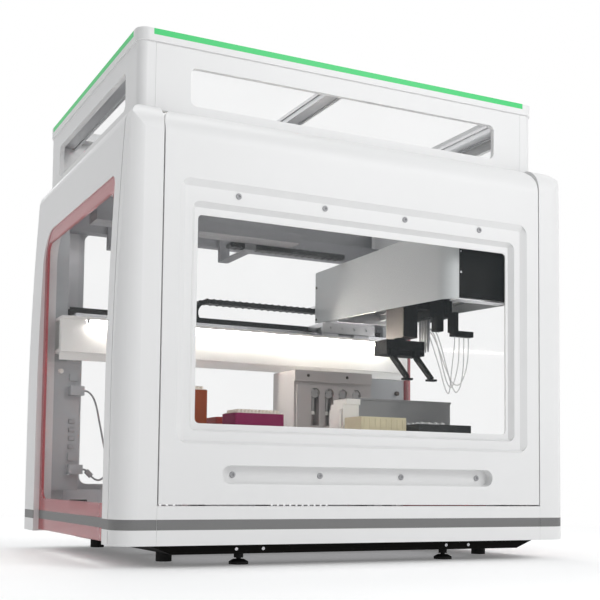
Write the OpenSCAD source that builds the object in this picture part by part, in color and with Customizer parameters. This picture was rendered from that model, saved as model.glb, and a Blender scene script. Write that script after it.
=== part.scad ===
// Enclosed benchtop liquid handling robot: a cabinet with a lifting front door, a cantilever arm on
// a rear gantry beam, and a pod that carries four pipetting probes and a turning plate gripper.
// Millimetres, +Z up, front towards -Y, origin on the bench at the middle of the cabinet.

/* [Cabinet] */
// Width over both side panels
body_w = 1120; // [1000:10:1300]
// Depth of the side panels, front to back
body_d = 810; // [760:10:900]
// Height to the top of the lid
total_h = 1120; // [1090:5:1200]
// Height of the white shell above the bench
shell_z = 46; // [40:1:60]
// Height of the side panels' top edge
panel_top = 945; // [935:1:955]
// Thickness of a side panel
panel_t = 45; // [40:1:50]
// Width of the front post of each side panel
post_w = 85; // [75:1:95]
// Radius of the front post's outer corner
post_r = 45; // [30:1:50]
// Depth of the front post
post_d = 75; // [60:1:90]

/* [Side openings] */
// Front edge of the side opening, measured back from the front
side_open_front = 90; // [85:1:130]
// Back edge of the side opening, measured forward from the back
side_open_back = 100; // [90:1:140]
// Height of the side opening's top
side_open_top = 806; // [760:1:820]
// Thickness of the tinted trim sheet
trim_t = 6; // [4:1:8]
// Thickness of a clear pane
pane_t = 4; // [3:1:6]
// Width of the grey band round the base
band_h = 21; // [12:1:30]
// Height of the band's lower edge
band_z = 77; // [70:1:90]

/* [Door] */
// Height of the door's lower edge
door_z = 128; // [122:1:140]
// Running gap round the door
door_gap = 3; // [2:0.5:4]
// Depth of the door's face
door_t = 32; // [30:1:36]
// Wall left round the door's hollow back
door_wall = 8; // [6:1:12]
// Radius of the curved top of the door
door_top_r = 70; // [60:1:75]
// Half width of the window
win_half = 391; // [340:1:400]
// Height of the window's lower edge
win_z0 = 293; // [285:1:320]
// Height of the window's upper edge
win_z1 = 725; // [680:1:735]
// Depth of the outer step round the window
step_1 = 10; // [6:1:12]
// Depth of the inner step round the window
step_2 = 22; // [16:1:24]
// Half length of the grip recess
grip_half = 337; // [200:1:380]
// Height of the grip recess, edge to edge
grip_h = 38; // [30:1:44]
// Depth of the grip recess
grip_d = 22; // [14:1:24]

/* [Canopy] */
// Inset of the canopy from the side panels' outer faces
canopy_in = 51; // [46:1:80]
// Set back of the canopy's front wall
canopy_back = 71; // [69:1:90]
// Overhang of the canopy behind the side panels
canopy_rear = 26; // [0:1:40]
// Overhang of the lid round the canopy
lid_lip = 4; // [2:0.5:6]
// Thickness of the canopy's walls
canopy_t = 12; // [8:1:16]
// Height of the lid frame
lid_h = 27; // [24:1:36]
// Height of the status light bar
light_h = 13; // [8:1:15]

/* [Gantry] */
// Height of the gantry beam's top
beam_top = 590; // [560:1:610]
// Height of the gantry beam
beam_h = 90; // [70:1:110]
// Depth of the gantry beam
beam_d = 80; // [70:1:90]
// Distance from the beam's front face to the cabinet's back
beam_back = 155; // [150:1:170]
// Width of a linear rail
rail_w = 15; // [12:1:20]
// Height of a linear rail
rail_h = 12; // [10:1:15]

/* [Arm] */
// Distance from the cabinet's right side to the arm's left face
arm_rest = 315; // [310:1:330]
// Width of the arm
arm_w = 187; // [180:1:195]
// Height of the arm's top
arm_top = 785; // [775:1:790]
// Height of the arm's lower edge at its front
arm_bottom = 612; // [606:1:620]
// Rise of the lower edge towards the back
arm_rise = 28; // [0:1:34]
// Distance from the door's face to the front of the arm
arm_back_set = 60; // [55:1:65]
// Radius of the cover's front corner
arm_r = 32; // [20:1:36]
// Sheet thickness of the covers
sheet_t = 3; // [2:0.5:4]

/* [Pod] */
// Number of probes
probes = 4; // [2:1:4]
// Pitch of the probes
probe_pitch = 12; // [11:1:13]
// Radius of a probe's barrel
barrel_r = 5; // [4:0.5:5]
// Height of the probe tips
probe_tip_z = 515; // [505:1:530]
// Radial clearance of a running fit
fit = 0.08; // [0.03:0.01:0.1]
// Height of the gripper head's underside
head_z = 498; // [490:1:505]
// Width of the gripper head
head_w = 112; // [100:1:116]

/* [Deck] */
// Height of the deck's surface
deck_z = 175; // [170:1:190]
// Thickness of the deck plate
deck_t = 12; // [8:1:16]
// Length of a standard plate
plate_l = 127; // [120:1:130]
// Width of a standard plate
plate_w = 85; // [80:1:90]

/* [Hidden] */
$fn = 64;
eps = 0.5;
gap = 0.3;

x0 = body_w / 2;
rear_lip = canopy_rear + lid_lip;
yf = -(body_d + rear_lip) / 2;
yb = yf + body_d;
door_half = x0 - post_w - door_gap;
inner_x = x0 - panel_t;
beam_y = yb - beam_back;
arm_x = x0 - arm_rest;
arm_front = yf + arm_back_set;
fascia_t = 30;
band_t = 1;

// Cabinet frame posts stand clear of the side panels and of the door's swing
post_s = 36;
post_x = inner_x - gap - post_s / 2;
post_front_y = yf + 105 + post_s / 2;
post_rear_y = beam_y + beam_d + post_s / 2;
frame_top = 880;
floor_t = 5;
rear_t = 4;
floor_top = shell_z + floor_t;

// Door hinge axis, inside the curved top
hinge_y = yf + 50;
hinge_z = panel_top - 27;
pin_r = 5;

lid_z = total_h - lid_h;
canopy_x = x0 - canopy_in;
canopy_y0 = yf + canopy_back;
canopy_y1 = yb + canopy_rear;
canopy_z = 884;
canopy_front_z = panel_top + 3;
canopy_y = (canopy_y0 + canopy_y1) / 2;
canopy_d = canopy_y1 - canopy_y0;

// Arm interior
arm_x1 = arm_x + arm_w;
arm_back = beam_y + beam_d;
spine_w = 37;
spine_x = arm_x1 - sheet_t - 2 - spine_w;
spine_z0 = arm_bottom + 28;
spine_z1 = arm_top - 5;
yrail_w = 15;
yrail_t = 8;
yrail_z = [spine_z0 + 15, spine_z1 - 30];
rail_y = [beam_y + 12, beam_y + 53];
rail_top = beam_top + rail_h;

// Pod
pod_y = yf + 303;
pod_d = 125;
manifold_y = pod_y - 88;
pod_x1 = spine_x - 1;
probe_x = spine_x - 37;
probe_y0 = pod_y + 12 - probe_pitch * 1.5;
barb_z = probe_tip_z + 60;
barb_l = 10.3;
tube_end_z = probe_tip_z + 33;
sleeve_z0 = arm_bottom - 12;
sleeve_z1 = sleeve_z0 + 100;
mast_x = arm_x + sheet_t + 4;
mast_w = 43;
mast_y = pod_y - 5;
mast_d = 82;
head_h = 37;
head_d = 60;
turn_x = arm_x + 17;
turn_y = pod_y - 13;
mast_z0 = head_z + head_h + 8;
mast_z1 = arm_top - 10;
finger_x = 35;
finger_drop = 62;
finger_reach = 75;

// Deck pieces
deck_x0 = -x0 + 165;
deck_x1 = x0 - 115;
deck_y0 = yf + 55;
deck_y1 = beam_y - 5;
deck_pitch = (deck_x1 - deck_x0) / 5;
pump_x = x0 - 462;
pump_w = 239;
pump_y = beam_y - 100;
pump_d = 140;
pump_h = 304;
valve_x = pump_x + 61;
valve_pitch = 42.5;
valve_z = 418;
valve_r = 14;
slot_w = 24;
slot_h = 80;
panel_z0 = 148;
panel_z1 = 500;
wash_x = x0 - 410;
wash_w = 277;
wash_y = yf + 305;
wash_d = 88;
wash_h = 213;

// Patch cable: steps from the face of the upper socket to the ferrite, and from there to the lower
cable_d = 5;
cable_steps = [[0, 0, 0], [8, 0, 0], [18, 0, -6], [28, 0, -20], [36, 0, -43], [43, 0, -75],
    [50, 0, -107], [57, 0, -140], [63, 0, -169], [66, 0, -195], [62, 0, -217], [49, 0, -229],
    [36, 0, -228], [25.2, 0, -220.2]];
cable_tail = [[10.8, 0, -205.8], [8, 0, -203.5], [4, 0, -203], [0, 0, -203]];
ferrite_at = [18, 0, -213];

// Probe tubes: steps in X and Y from the probe's axis and the pod's middle, with heights over the tip
tube_d = 3;
tube_steps = [
    [[11, -6, 60], [17, -6, 60], [26, -10, 46], [33, -22, 5], [37, -36, -40], [42, -50, -84],
     [48, -62, -106], [54, -73, -90], [57, -81, -48], [55, -86, -8], [54, -88, 18],
     [54, -88, 33]],
    [[11, 6, 60], [17, 6, 60], [26, 2, 44], [31, -12, 0], [32, -28, -44], [33, -44, -80],
     [35, -60, -94], [38, -72, -74], [41, -82, -36], [40, -87, 0], [40, -88, 20],
     [40, -88, 33]],
    [[11, 18, 60], [17, 18, 60], [29, 14, 46], [40, 0, 5], [47, -18, -42], [55, -38, -80],
     [64, -56, -84], [71, -70, -56], [72, -80, -20], [69, -87, 8], [68, -88, 22],
     [68, -88, 33]],
    [[11, 30, 60], [17, 30, 60], [27, 26, 42], [36, 14, -2], [40, -4, -48], [40, -22, -88],
     [37, -42, -108], [31, -60, -98], [26, -74, -58], [25, -84, -14], [26, -88, 14],
     [26, -88, 33]]];

// ---------- shared shapes ----------

// Rectangle with round corners, centred
module rrect(w, h, r) {
    square([w - 2 * r, h], center = true);
    square([w, h - 2 * r], center = true);
    for (sx = [-1, 1], sy = [-1, 1])
        translate([sx * (w / 2 - r), sy * (h / 2 - r)]) circle(r);
}

// Block between two corners
module block(a, b) {
    translate(a) cube(b - a);
}

// Upright plate: a 2D shape in X and Z, pushed from y back by t
module face_plate(y, t) {
    translate([0, y + t, 0]) rotate([90, 0, 0]) linear_extrude(t) children();
}

// Side plate: a 2D shape in Y and Z, pushed from x to the right by t
module side_plate(x, t) {
    translate([x, 0, 0]) rotate([90, 0, 90]) linear_extrude(t) children();
}

// Smooth point on a chain of points
function spline(p, i, t) =
    let (a = p[max(i - 1, 0)], b = p[i], c = p[i + 1], d = p[min(i + 2, len(p) - 1)])
    0.5 * (2 * b + (c - a) * t + (2 * a - 5 * b + 4 * c - d) * t * t
        + (3 * b - a - 3 * c + d) * t * t * t);
function route(p, n) =
    [for (i = [0 : len(p) - 2], k = [0 : n - 1]) spline(p, i, k / n), p[len(p) - 1]];
function unit(v) = v / norm(v);
function heading(r, i) = unit(r[min(i + 1, len(r) - 1)] - r[max(i - 1, 0)]);

// Tube of diameter d along the points r; side gives a direction that never lies along the tube
module tube(r, d, side, n = 8) {
    m = len(r);
    rings = [for (i = [0 : m - 1])
        let (h = heading(r, i), u = unit(cross(h, side)), v = cross(h, u))
        for (k = [0 : n - 1]) r[i] + (u * cos(360 * k / n) + v * sin(360 * k / n)) * d / 2];
    walls = [for (i = [0 : m - 2], k = [0 : n - 1])
        [i * n + k, i * n + (k + 1) % n, (i + 1) * n + (k + 1) % n, (i + 1) * n + k]];
    ends = [[for (k = [n - 1 : -1 : 0]) k], [for (k = [0 : n - 1]) (m - 1) * n + k]];
    polyhedron(rings, concat(walls, ends));
}

// ---------- cabinet ----------

chassis_in = 32;
foot_x = x0 - 300;
foot_y = [yf + 90, yb - 85];
bumper_x = x0 - 154;
foot_thread_r = 5;

module base_chassis() {
    color([0.08, 0.08, 0.08])
    difference() {
        face_plate(yf + chassis_in, body_d - 2 * chassis_in)
            polygon([[-door_half - 8, shell_z], [-door_half + 42, shell_z - 20],
                [door_half - 42, shell_z - 20], [door_half + 8, shell_z]]);
        for (y = [yf + 260, yb - 240])
            block([-x0 + 180, y - 130, shell_z - 30], [x0 - 180, y + 130, shell_z + 1]);
        for (x = [-foot_x, foot_x], y = foot_y)
            translate([x, y, 0]) cylinder(r = foot_thread_r + fit, h = shell_z + 1);
    }
}

module levelling_feet() {
    color([0.12, 0.12, 0.12])
    for (x = [-foot_x, foot_x], y = foot_y)
        translate([x, y, 0]) {
            cylinder(r = 21, h = 6);
            translate([0, 0, 6]) cylinder(r1 = 21, r2 = 12, h = 5);
            cylinder(r = foot_thread_r, h = shell_z - 4);
            translate([0, 0, 14]) cylinder(r = 11, h = 8, $fn = 6);
        }
    // Rubber bumpers that catch the machine while its feet are turned in
    color([0.12, 0.12, 0.12])
    for (x = [-bumper_x, bumper_x], y = [foot_y[0] + 62, foot_y[1] - 62])
        translate([x, y, 5]) cylinder(r = 17, h = shell_z - 20 - 5);
}

module floor_pan() {
    color([0.8, 0.8, 0.8]) {
        block([-inner_x + 60, yf + fascia_t, shell_z], [inner_x - 60, yb - rear_t, floor_top]);
        for (s = [-1, 1])
            block([s * (inner_x - 32) - 28, yf + post_d + 2, shell_z],
                [s * (inner_x - 32) + 28, yb - rear_t, floor_top]);
    }
}

module band_groove() {
    face_plate(yf - eps, band_t + eps)
        translate([0, band_z + band_h / 2]) square([body_w, band_h], center = true);
}

module front_fascia() {
    color([0.93, 0.93, 0.93])
    difference() {
        block([-door_half - door_gap + gap, yf, shell_z],
            [door_half + door_gap - gap, yf + fascia_t, door_z - door_gap]);
        band_groove();
        block([-door_half + 20, yf + 8, shell_z - 1],
            [door_half - 20, yf + fascia_t + 1, door_z - 20]);
    }
}

// Outline of the right-hand side panel in plan, shrunk by s
module panel_plan(s = 0) {
    x = x0 - s;
    r = post_r - s;
    difference() {
        union() {
            translate([inner_x, yf + post_r]) square([panel_t - s, body_d - post_r - s]);
            translate([x0 - post_w, yf + s]) square([post_w - post_r, post_d - s]);
            intersection() {
                translate([x0 - post_r, yf + post_r]) circle(r);
                translate([x0 - post_r, yf]) square(post_r);
            }
            translate([x0 - post_r - eps, yf + post_r]) square([post_r - s + eps, post_d - post_r]);
        }
        translate([0, yb - s]) square([x + 1, s + 1]);
    }
}

// Front outline of the right-hand side panel: leaning out towards the middle of its height
lean_r = 10000;
lean_z = 320;
top_r = 45;
corner_z = panel_top - top_r;
corner_x = x0 - lean_r + sqrt(pow(lean_r - top_r, 2) - pow(corner_z - lean_z, 2));
module panel_front() {
    intersection() {
        union() {
            translate([x0 - lean_r, lean_z]) circle(lean_r, $fn = 720);
            translate([x0 - 300, 0]) square([300, lean_z]);
        }
        union() {
            translate([x0 - 300, shell_z]) square([300, corner_z - shell_z]);
            translate([x0 - 300, shell_z]) square([corner_x - x0 + 300, panel_top - shell_z]);
            translate([corner_x, corner_z]) circle(top_r);
        }
    }
}

// Side outline of a side panel, front to the left
panel_r = 60;
module panel_side() {
    translate([yf, shell_z]) square([body_d, panel_top - shell_z - panel_r]);
    translate([yf + panel_r, shell_z]) square([body_d - panel_r - 40, panel_top - shell_z]);
    translate([yf + panel_r, panel_top - panel_r]) circle(panel_r);
    translate([yb - 40, panel_top - 40]) circle(40);
    translate([yb - 60, shell_z]) square([60, panel_top - shell_z - 40]);
}

open_y0 = yf + side_open_front;
open_y1 = yb - side_open_back;
open_r = 24;
open_rear_r = 80;

// Side opening, grown by g; square at its foot
module side_opening(g = 0) {
    h = side_open_top - shell_z;
    translate([open_y0 - g, shell_z - 1]) square([open_y1 - open_y0 + 2 * g, h + 1 - open_rear_r]);
    translate([open_y0 + open_r, shell_z - 1])
        square([open_y1 - open_y0 - open_r - open_rear_r, h + 1 + g]);
    translate([open_y0 + open_r, side_open_top - open_r]) circle(open_r + g);
    translate([open_y0 - g, side_open_top - open_rear_r - 1])
        square([open_r + g, open_rear_r - open_r + 1]);
    translate([open_y1 - open_rear_r, side_open_top - open_rear_r]) circle(open_rear_r + g);
}

module band_ring() {
    translate([0, 0, band_z]) linear_extrude(band_h)
    difference() {
        panel_plan();
        panel_plan(band_t);
        translate([0, yf + band_t]) square([x0 - post_r, body_d]);
        translate([0, yb - band_t - eps]) square([x0 + 1, 5]);
    }
}

// Shadow joint between the round front post and the flat side
joint_w = 5;
joint_t = 3;
module post_joint() {
    difference() {
        block([inner_x, yf + post_r, shell_z - 1], [x0 + 1, yf + post_r + joint_w, panel_top + 1]);
        face_plate(yf, post_d) translate([-joint_t, -joint_t]) panel_front();
    }
}

module side_panel() {
    difference() {
        intersection() {
            translate([0, 0, shell_z - 1]) linear_extrude(panel_top) panel_plan();
            face_plate(yf - 1, body_d + 2) panel_front();
            side_plate(0, x0 + 1) panel_side();
        }
        side_plate(inner_x - 1, panel_t + 2) side_opening();
        // Ledge that the tinted trim sits in, behind a thin lip
        side_plate(inner_x - 1, trim_x + trim_t + 1 - inner_x) side_opening(6);
        band_ring();
        post_joint();
    }
}

module side_panel_right() {
    color([0.92, 0.92, 0.92]) side_panel();
}

module side_panel_left() {
    color([0.92, 0.92, 0.92]) mirror([1, 0, 0]) side_panel();
}

trim_in = 14;
trim_x = x0 - trim_in - trim_t;
trim_low = shell_z + 4;
pane_y0 = open_y0 + 16;
pane_y1 = open_y1 - 22;
pane_z0 = 128;
pane_z1 = side_open_top - 32;

module side_trims() {
    color([0.62, 0.2, 0.22])
    for (s = [0, 1]) mirror([s, 0, 0])
        difference() {
            side_plate(trim_x, trim_t) intersection() {
                side_opening(6 - gap);
                translate([yf, trim_low]) square([body_d, panel_top]);
            }
            side_plate(trim_x - 1, trim_t + 2)
                translate([(pane_y0 + pane_y1) / 2, (pane_z0 + pane_z1) / 2])
                rrect(pane_y1 - pane_y0, pane_z1 - pane_z0, 26);
            block([trim_x + trim_t - band_t, open_y0, band_z],
                [trim_x + trim_t + 1, open_y1, band_z + band_h]);
        }
}

module side_panes() {
    color([0.85, 0.9, 0.92, 0.4])
    for (s = [0, 1]) mirror([s, 0, 0])
        side_plate(trim_x - pane_t, pane_t)
            translate([(pane_y0 + pane_y1) / 2, (pane_z0 + pane_z1) / 2])
            rrect(pane_y1 - pane_y0 + 10, pane_z1 - pane_z0 + 12, 20);
}

module grey_band() {
    color([0.45, 0.45, 0.45]) {
        for (s = [0, 1]) mirror([s, 0, 0]) {
            intersection() {
                band_ring();
                union() {
                    block([0, yf, 0], [x0, open_y0, panel_top]);
                    block([0, open_y1, 0], [x0, yb - 1, panel_top]);
                }
            }
            block([trim_x + trim_t - band_t, open_y0 + 2, band_z],
                [trim_x + trim_t, open_y1 - 2, band_z + band_h]);
        }
        block([-door_half - door_gap + 1, yf, band_z],
            [door_half + door_gap - 1, yf + band_t, band_z + band_h]);
    }
}

rear_open = [x0 - 140, shell_z + 119, frame_top - 40];
module rear_panel() {
    color([0.88, 0.88, 0.88])
    difference() {
        union() {
            block([-inner_x + gap, yb - rear_t, shell_z], [inner_x - gap, yb, canopy_z - 1]);
            block([-canopy_x, yb - 1, canopy_z - 10], [canopy_x, canopy_y1, canopy_z - 1]);
        }
        face_plate(yb - rear_t - 1, rear_t + 2)
            translate([0, (rear_open[1] + rear_open[2]) / 2])
            rrect(2 * rear_open[0], rear_open[2] - rear_open[1], 20);
        for (i = [0 : 9], s = [-1, 1])
            face_plate(yb - rear_t - 1, rear_t + 2) translate([s * (150 + 20 * i), 110]) rrect(8, 60, 3.9);
        face_plate(yb - rear_t - 1, rear_t + 2) translate([-420, 110]) square([48, 28], center = true);
    }
}

module rear_pane() {
    color([0.85, 0.9, 0.92, 0.4])
    face_plate(yb - rear_t - pane_t, pane_t)
        translate([0, (rear_open[1] + rear_open[2]) / 2])
        rrect(2 * rear_open[0] + 30, rear_open[2] - rear_open[1] + 30, 20);
}

module cabinet_frame() {
    color([0.7, 0.7, 0.7])
    for (s = [-1, 1]) {
        for (y = [post_front_y, post_rear_y])
            difference() {
                translate([s * post_x, y, floor_top]) linear_extrude(frame_top - floor_top)
                    square(post_s, center = true);
                for (t = [-1, 1])
                    block([s * post_x + t * post_s / 2 - 3, y - 4, floor_top + 10],
                        [s * post_x + t * post_s / 2 + 3, y + 4, frame_top - 50]);
            }
        block([s * post_x - post_s / 2, post_front_y + post_s / 2, frame_top - 40],
            [s * post_x + post_s / 2, post_rear_y - post_s / 2, frame_top]);
        block([s * post_x - post_s / 2, post_rear_y + post_s / 2, frame_top - 40],
            [s * post_x + post_s / 2, yb - rear_t, frame_top]);
        // Feet of the canopy, on the top rails
        for (y = [post_front_y + 30, (yf + yb) / 2 + 60, post_rear_y - 20])
            block([s * (canopy_x - canopy_t / 2) - 8, y - 25, frame_top],
                [s * (canopy_x - canopy_t / 2) + 8, y + 25, canopy_z]);
    }
}

tray_z = frame_top - 76;
tray_y = beam_y - 180;
tray_d = 70;
tray_x1 = 70;
upper_y = tray_y + tray_d + gap;
upper_z = arm_top + 5;
header_x = post_x - post_s / 2;
module header_rails() {
    color([0.5, 0.5, 0.5]) {
        difference() {
            block([-header_x, post_front_y - 18, frame_top - 60],
                [header_x, post_front_y + 18, frame_top]);
            block([-header_x - 1, post_front_y - 12, frame_top - 61],
                [header_x + 1, post_front_y + 12, frame_top - 10]);
        }
        block([-header_x, post_rear_y - 18, frame_top - 50], [header_x, post_rear_y + 18, frame_top]);
        // Tray for the upper chain, carried by the left post and the rear rail
        difference() {
            block([-header_x, tray_y, tray_z], [tray_x1, tray_y + tray_d, tray_z + 26]);
            block([-header_x + 3, tray_y + 4, tray_z + 3], [tray_x1 - 4, tray_y + tray_d - 4, tray_z + 27]);
        }
        for (x = [-380, -60]) {
            block([x, tray_y + tray_d - 4, upper_z - 3 - gap], [x + 30, tray_y + tray_d, tray_z + 2]);
            block([x, tray_y + tray_d - 4, upper_z - 3 - gap], [x + 30, post_rear_y - 18, upper_z - gap]);
            block([x, post_rear_y - 30, upper_z - 3 - gap], [x + 30, post_rear_y - 18, frame_top - 10]);
        }
    }
}

// ---------- canopy ----------

canopy_win = [canopy_x - 115, lid_z - 124, lid_z - 41];
canopy_side_w = canopy_d / 2 - 92;
module canopy_window(w, z0, z1) {
    translate([0, (z0 + z1) / 2]) rrect(2 * w, z1 - z0, 14);
}

module canopy_frame() {
    color([0.92, 0.92, 0.92])
    difference() {
        translate([0, canopy_y, canopy_z]) linear_extrude(lid_z - canopy_z) difference() {
            rrect(2 * canopy_x, canopy_d, 18);
            rrect(2 * (canopy_x - canopy_t), canopy_d - 2 * canopy_t, 8);
        }
        face_plate(canopy_y0 - 1, canopy_d + 2)
            canopy_window(canopy_win[0], canopy_win[1], canopy_win[2]);
        side_plate(-x0, 2 * x0)
            translate([canopy_y, 0]) canopy_window(canopy_side_w, canopy_win[1], canopy_win[2]);
        // Front wall stops above the door's swing
        block([-canopy_x - 1, canopy_y0 - 1, canopy_z - 1],
            [canopy_x + 1, canopy_y0 + canopy_t + 22, canopy_front_z]);
        // Shadow joint between the corner posts and the panels
        for (s = [-1, 1])
            translate([s * (canopy_x - 36), canopy_y0, canopy_z - 1])
                cylinder(r = 0.8, h = 250, $fn = 16);
    }
}

module canopy_panes() {
    w = canopy_win[0] + 12;
    z0 = canopy_win[1] - 10;
    z1 = canopy_win[2] + 12;
    color([0.85, 0.9, 0.92, 0.35]) {
        for (y = [canopy_y0 + canopy_t, canopy_y1 - canopy_t - pane_t])
            face_plate(y, pane_t) canopy_window(w, z0, z1);
        for (x = [-canopy_x + canopy_t, canopy_x - canopy_t - pane_t])
            side_plate(x, pane_t) translate([canopy_y, 0]) canopy_window(canopy_side_w + 12, z0, z1);
        translate([0, canopy_y, lid_z + 6]) linear_extrude(pane_t)
            rrect(2 * canopy_x - 70, canopy_d - 70, 14);
    }
}

module canopy_lid() {
    color([0.95, 0.95, 0.95])
    translate([0, canopy_y, lid_z]) {
        linear_extrude(6) difference() {
            rrect(2 * (canopy_x + lid_lip), canopy_d + 2 * lid_lip, 24);
            rrect(2 * canopy_x - 90, canopy_d - 90, 10);
        }
        translate([0, 0, 6]) linear_extrude(lid_h - light_h - 6) difference() {
            rrect(2 * (canopy_x + lid_lip), canopy_d + 2 * lid_lip, 24);
            rrect(2 * canopy_x - 70 + gap, canopy_d - 70 + gap, 14);
        }
        translate([0, 0, lid_h - light_h]) linear_extrude(light_h) difference() {
            rrect(2 * (canopy_x + lid_lip), canopy_d + 2 * lid_lip, 24);
            rrect(2 * canopy_x - 70, canopy_d - 70, 14);
            light_plan(0);
        }
    }
}

// Plan of the light bar, along the front and both sides, seated in the lid's edge
light_w = 14;
light_end = 30;
module light_plan(g) {
    translate([0, -canopy_d / 2 - lid_lip + light_w / 2])
        square([2 * canopy_x - 2 * light_end - 2 * g, light_w - 2 * g + 0.01], center = true);
    for (s = [-1, 1])
        translate([s * (canopy_x + lid_lip - light_w / 2), 0])
            square([light_w - 2 * g + 0.01, canopy_d - 2 * light_end - 2 * g], center = true);
}

module status_light() {
    color([0.1, 0.8, 0.3])
    translate([0, canopy_y, total_h - light_h]) linear_extrude(light_h) light_plan(gap / 2);
}

module roof_rails() {
    color([0.55, 0.55, 0.55])
    for (x = [-20, -canopy_x + canopy_t + 30, canopy_x - canopy_t - 30])
        difference() {
            block([x - 21, canopy_y0 + canopy_t, lid_z - 22],
                [x + 21, canopy_y1 - canopy_t, lid_z]);
            block([x - 15, canopy_y0, lid_z - 23], [x + 15, canopy_y1, lid_z - 18]);
            for (s = [-1, 1])
                block([x + s * 21 - 3, canopy_y0, lid_z - 14], [x + s * 21 + 3, canopy_y1, lid_z - 8]);
        }
}

// ---------- gantry ----------

module gantry_beam() {
    color([0.95, 0.95, 0.94])
    difference() {
        side_plate(-inner_x + gap, 2 * (inner_x - gap)) union() {
            translate([beam_y, beam_top - beam_h]) square([beam_d, beam_h]);
            translate([beam_y - 12, beam_top - 7]) square([13, 7]);
            translate([beam_y + 12, beam_top - beam_h - 20]) square([5, 21]);
        }
        side_plate(-x0, 2 * x0)
            translate([beam_y + beam_d / 2 + 6, beam_top - beam_h / 2]) rrect(beam_d - 24, beam_h - 16, 6);
    }
}

module beam_rails() {
    color([0.75, 0.76, 0.78])
    for (y = rail_y)
        difference() {
            block([-header_x + 4, y, beam_top], [header_x - 4, y + rail_w, rail_top]);
            for (z = [1, -1])
                block([-header_x, y + rail_w / 2 + z * (rail_w / 2) - 2, rail_top - 8],
                    [header_x, y + rail_w / 2 + z * (rail_w / 2) + 2, rail_top - 4]);
        }
}

module light_strip() {
    color([1, 0.98, 0.92])
    block([-header_x + 30, beam_y - 10, beam_top - 15], [header_x - 30, beam_y - 1, beam_top - 7]);
}

trough_y0 = beam_y + beam_d + 5;
trough_w = 40;
trough_z = beam_top + 8;
trough_h = 30;
chain_w = 30;
chain_t = 16;
bend_r = 34;
chain_z = trough_z + 3;
chain_top = chain_z + 2 * bend_r + chain_t;
chain_x = arm_x - 330;
chain_end = arm_x + 31;

module chain_trough() {
    color([0.13, 0.13, 0.13]) {
        difference() {
            block([-header_x + 6, trough_y0, trough_z],
                [header_x - 6, trough_y0 + trough_w, trough_z + trough_h]);
            block([-header_x, trough_y0 + 2.5, trough_z + 2.5],
                [header_x, trough_y0 + trough_w - 2.5, trough_z + trough_h + 1]);
            for (i = [-14 : 14])
                block([i * 32 - 8, trough_y0 - 1, trough_z + 12],
                    [i * 32 + 8, trough_y0 + 4, trough_z + 19]);
        }
        for (x = [-420, -140, 140, 420])
            block([x - 15, beam_y + beam_d, trough_z - 30], [x + 15, trough_y0, trough_z + 6]);
    }
}

// One link of the chain, its pin at the origin, running towards +X
link_p = 20;
module link_plan() {
    translate([0, 0]) circle(chain_t / 2 - 0.2, $fn = 24);
    translate([0, -chain_t / 2 + 2]) square([link_p * 0.8, chain_t - 4]);
}

module link() {
    face_plate(-chain_w / 2, chain_w) link_plan();
}

bend_z = chain_z + bend_r + chain_t / 2;
bend_n = 5;
// Upper chain, which runs along the back of its tray
module upper_chain() {
    color([0.13, 0.12, 0.11])
    for (x = [chain_x - 10 : link_p : arm_x - link_p])
        translate([x, upper_y + chain_w / 2, upper_z + chain_t / 2]) link();
}

module cable_chain() {
    color([0.16, 0.15, 0.14])
    translate([0, trough_y0 + trough_w / 2, 0]) {
        // Upper run
        for (x = [chain_x : link_p : chain_end - link_p])
            translate([x, 0, bend_z + bend_r]) link();
        // Bend
        for (i = [0 : bend_n - 1])
            translate([chain_x, 0, bend_z]) rotate([0, -90 - 180 * i / bend_n, 0])
                translate([bend_r, 0, 0]) rotate([0, -108, 0]) link();
        // Short lower run
        for (i = [1 : 3])
            translate([chain_x + i * link_p - link_p, 0, bend_z - bend_r]) link();
    }
}

// ---------- deck ----------

module deck_plate() {
    color([0.82, 0.83, 0.84]) {
        difference() {
            union() {
                block([deck_x0, deck_y0, deck_z - deck_t], [deck_x1, deck_y1, deck_z]);
                block([pump_x - 20, deck_y1 - 1, deck_z - deck_t],
                    [deck_x1, pump_y + pump_d + 4, deck_z]);
            }
            // Locating holes at the plate positions
            for (i = [0 : 4], j = [0 : 2], sx = [-1, 1])
                translate([deck_x0 + (i + 0.5) * deck_pitch + sx * 58, deck_y0 + 70 + j * 110, deck_z - 20])
                    cylinder(r = 4, h = 30);
        }
        for (x = [deck_x0 + 30, (deck_x0 + deck_x1) / 2, deck_x1 - 30], y = [deck_y0 + 30, deck_y1 - 30])
            difference() {
                block([x - 20, y - 20, floor_top], [x + 20, y + 20, deck_z - deck_t]);
                block([x - 16, y - 21, floor_top + 6], [x + 16, y + 16, deck_z - deck_t - 6]);
            }
    }
}

module valve_places() {
    for (i = [0 : 3]) translate([valve_x + i * valve_pitch, 0, 0]) children();
}

module pump_housing() {
    color([0.66, 0.63, 0.61])
    difference() {
        union() {
            block([pump_x, pump_y + 8, deck_z], [pump_x + pump_w, pump_y + pump_d, deck_z + pump_h]);
            block([pump_x + 6, pump_y, valve_z - slot_h - 14],
                [pump_x + pump_w - 6, pump_y + 9, valve_z + 22]);
            block([pump_x, pump_y + 2, deck_z + pump_h - 30],
                [pump_x + pump_w, pump_y + 9, deck_z + pump_h]);
        }
        valve_places() {
            face_plate(pump_y - 1, 26) translate([0, valve_z]) circle(valve_r);
            block([-slot_w / 2, pump_y - 1, valve_z - slot_h - 8],
                [slot_w / 2, pump_y + 34, valve_z - 8]);
        }
        for (x = [pump_x + 40, pump_x + 160])
            face_plate(pump_y + 1, 8) translate([x, deck_z + pump_h - 15]) circle(4);
        block([pump_x + 8, pump_y + 50, deck_z - 1],
            [pump_x + pump_w - 8, pump_y + pump_d - 8, deck_z + pump_h - 8]);
    }
}

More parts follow.
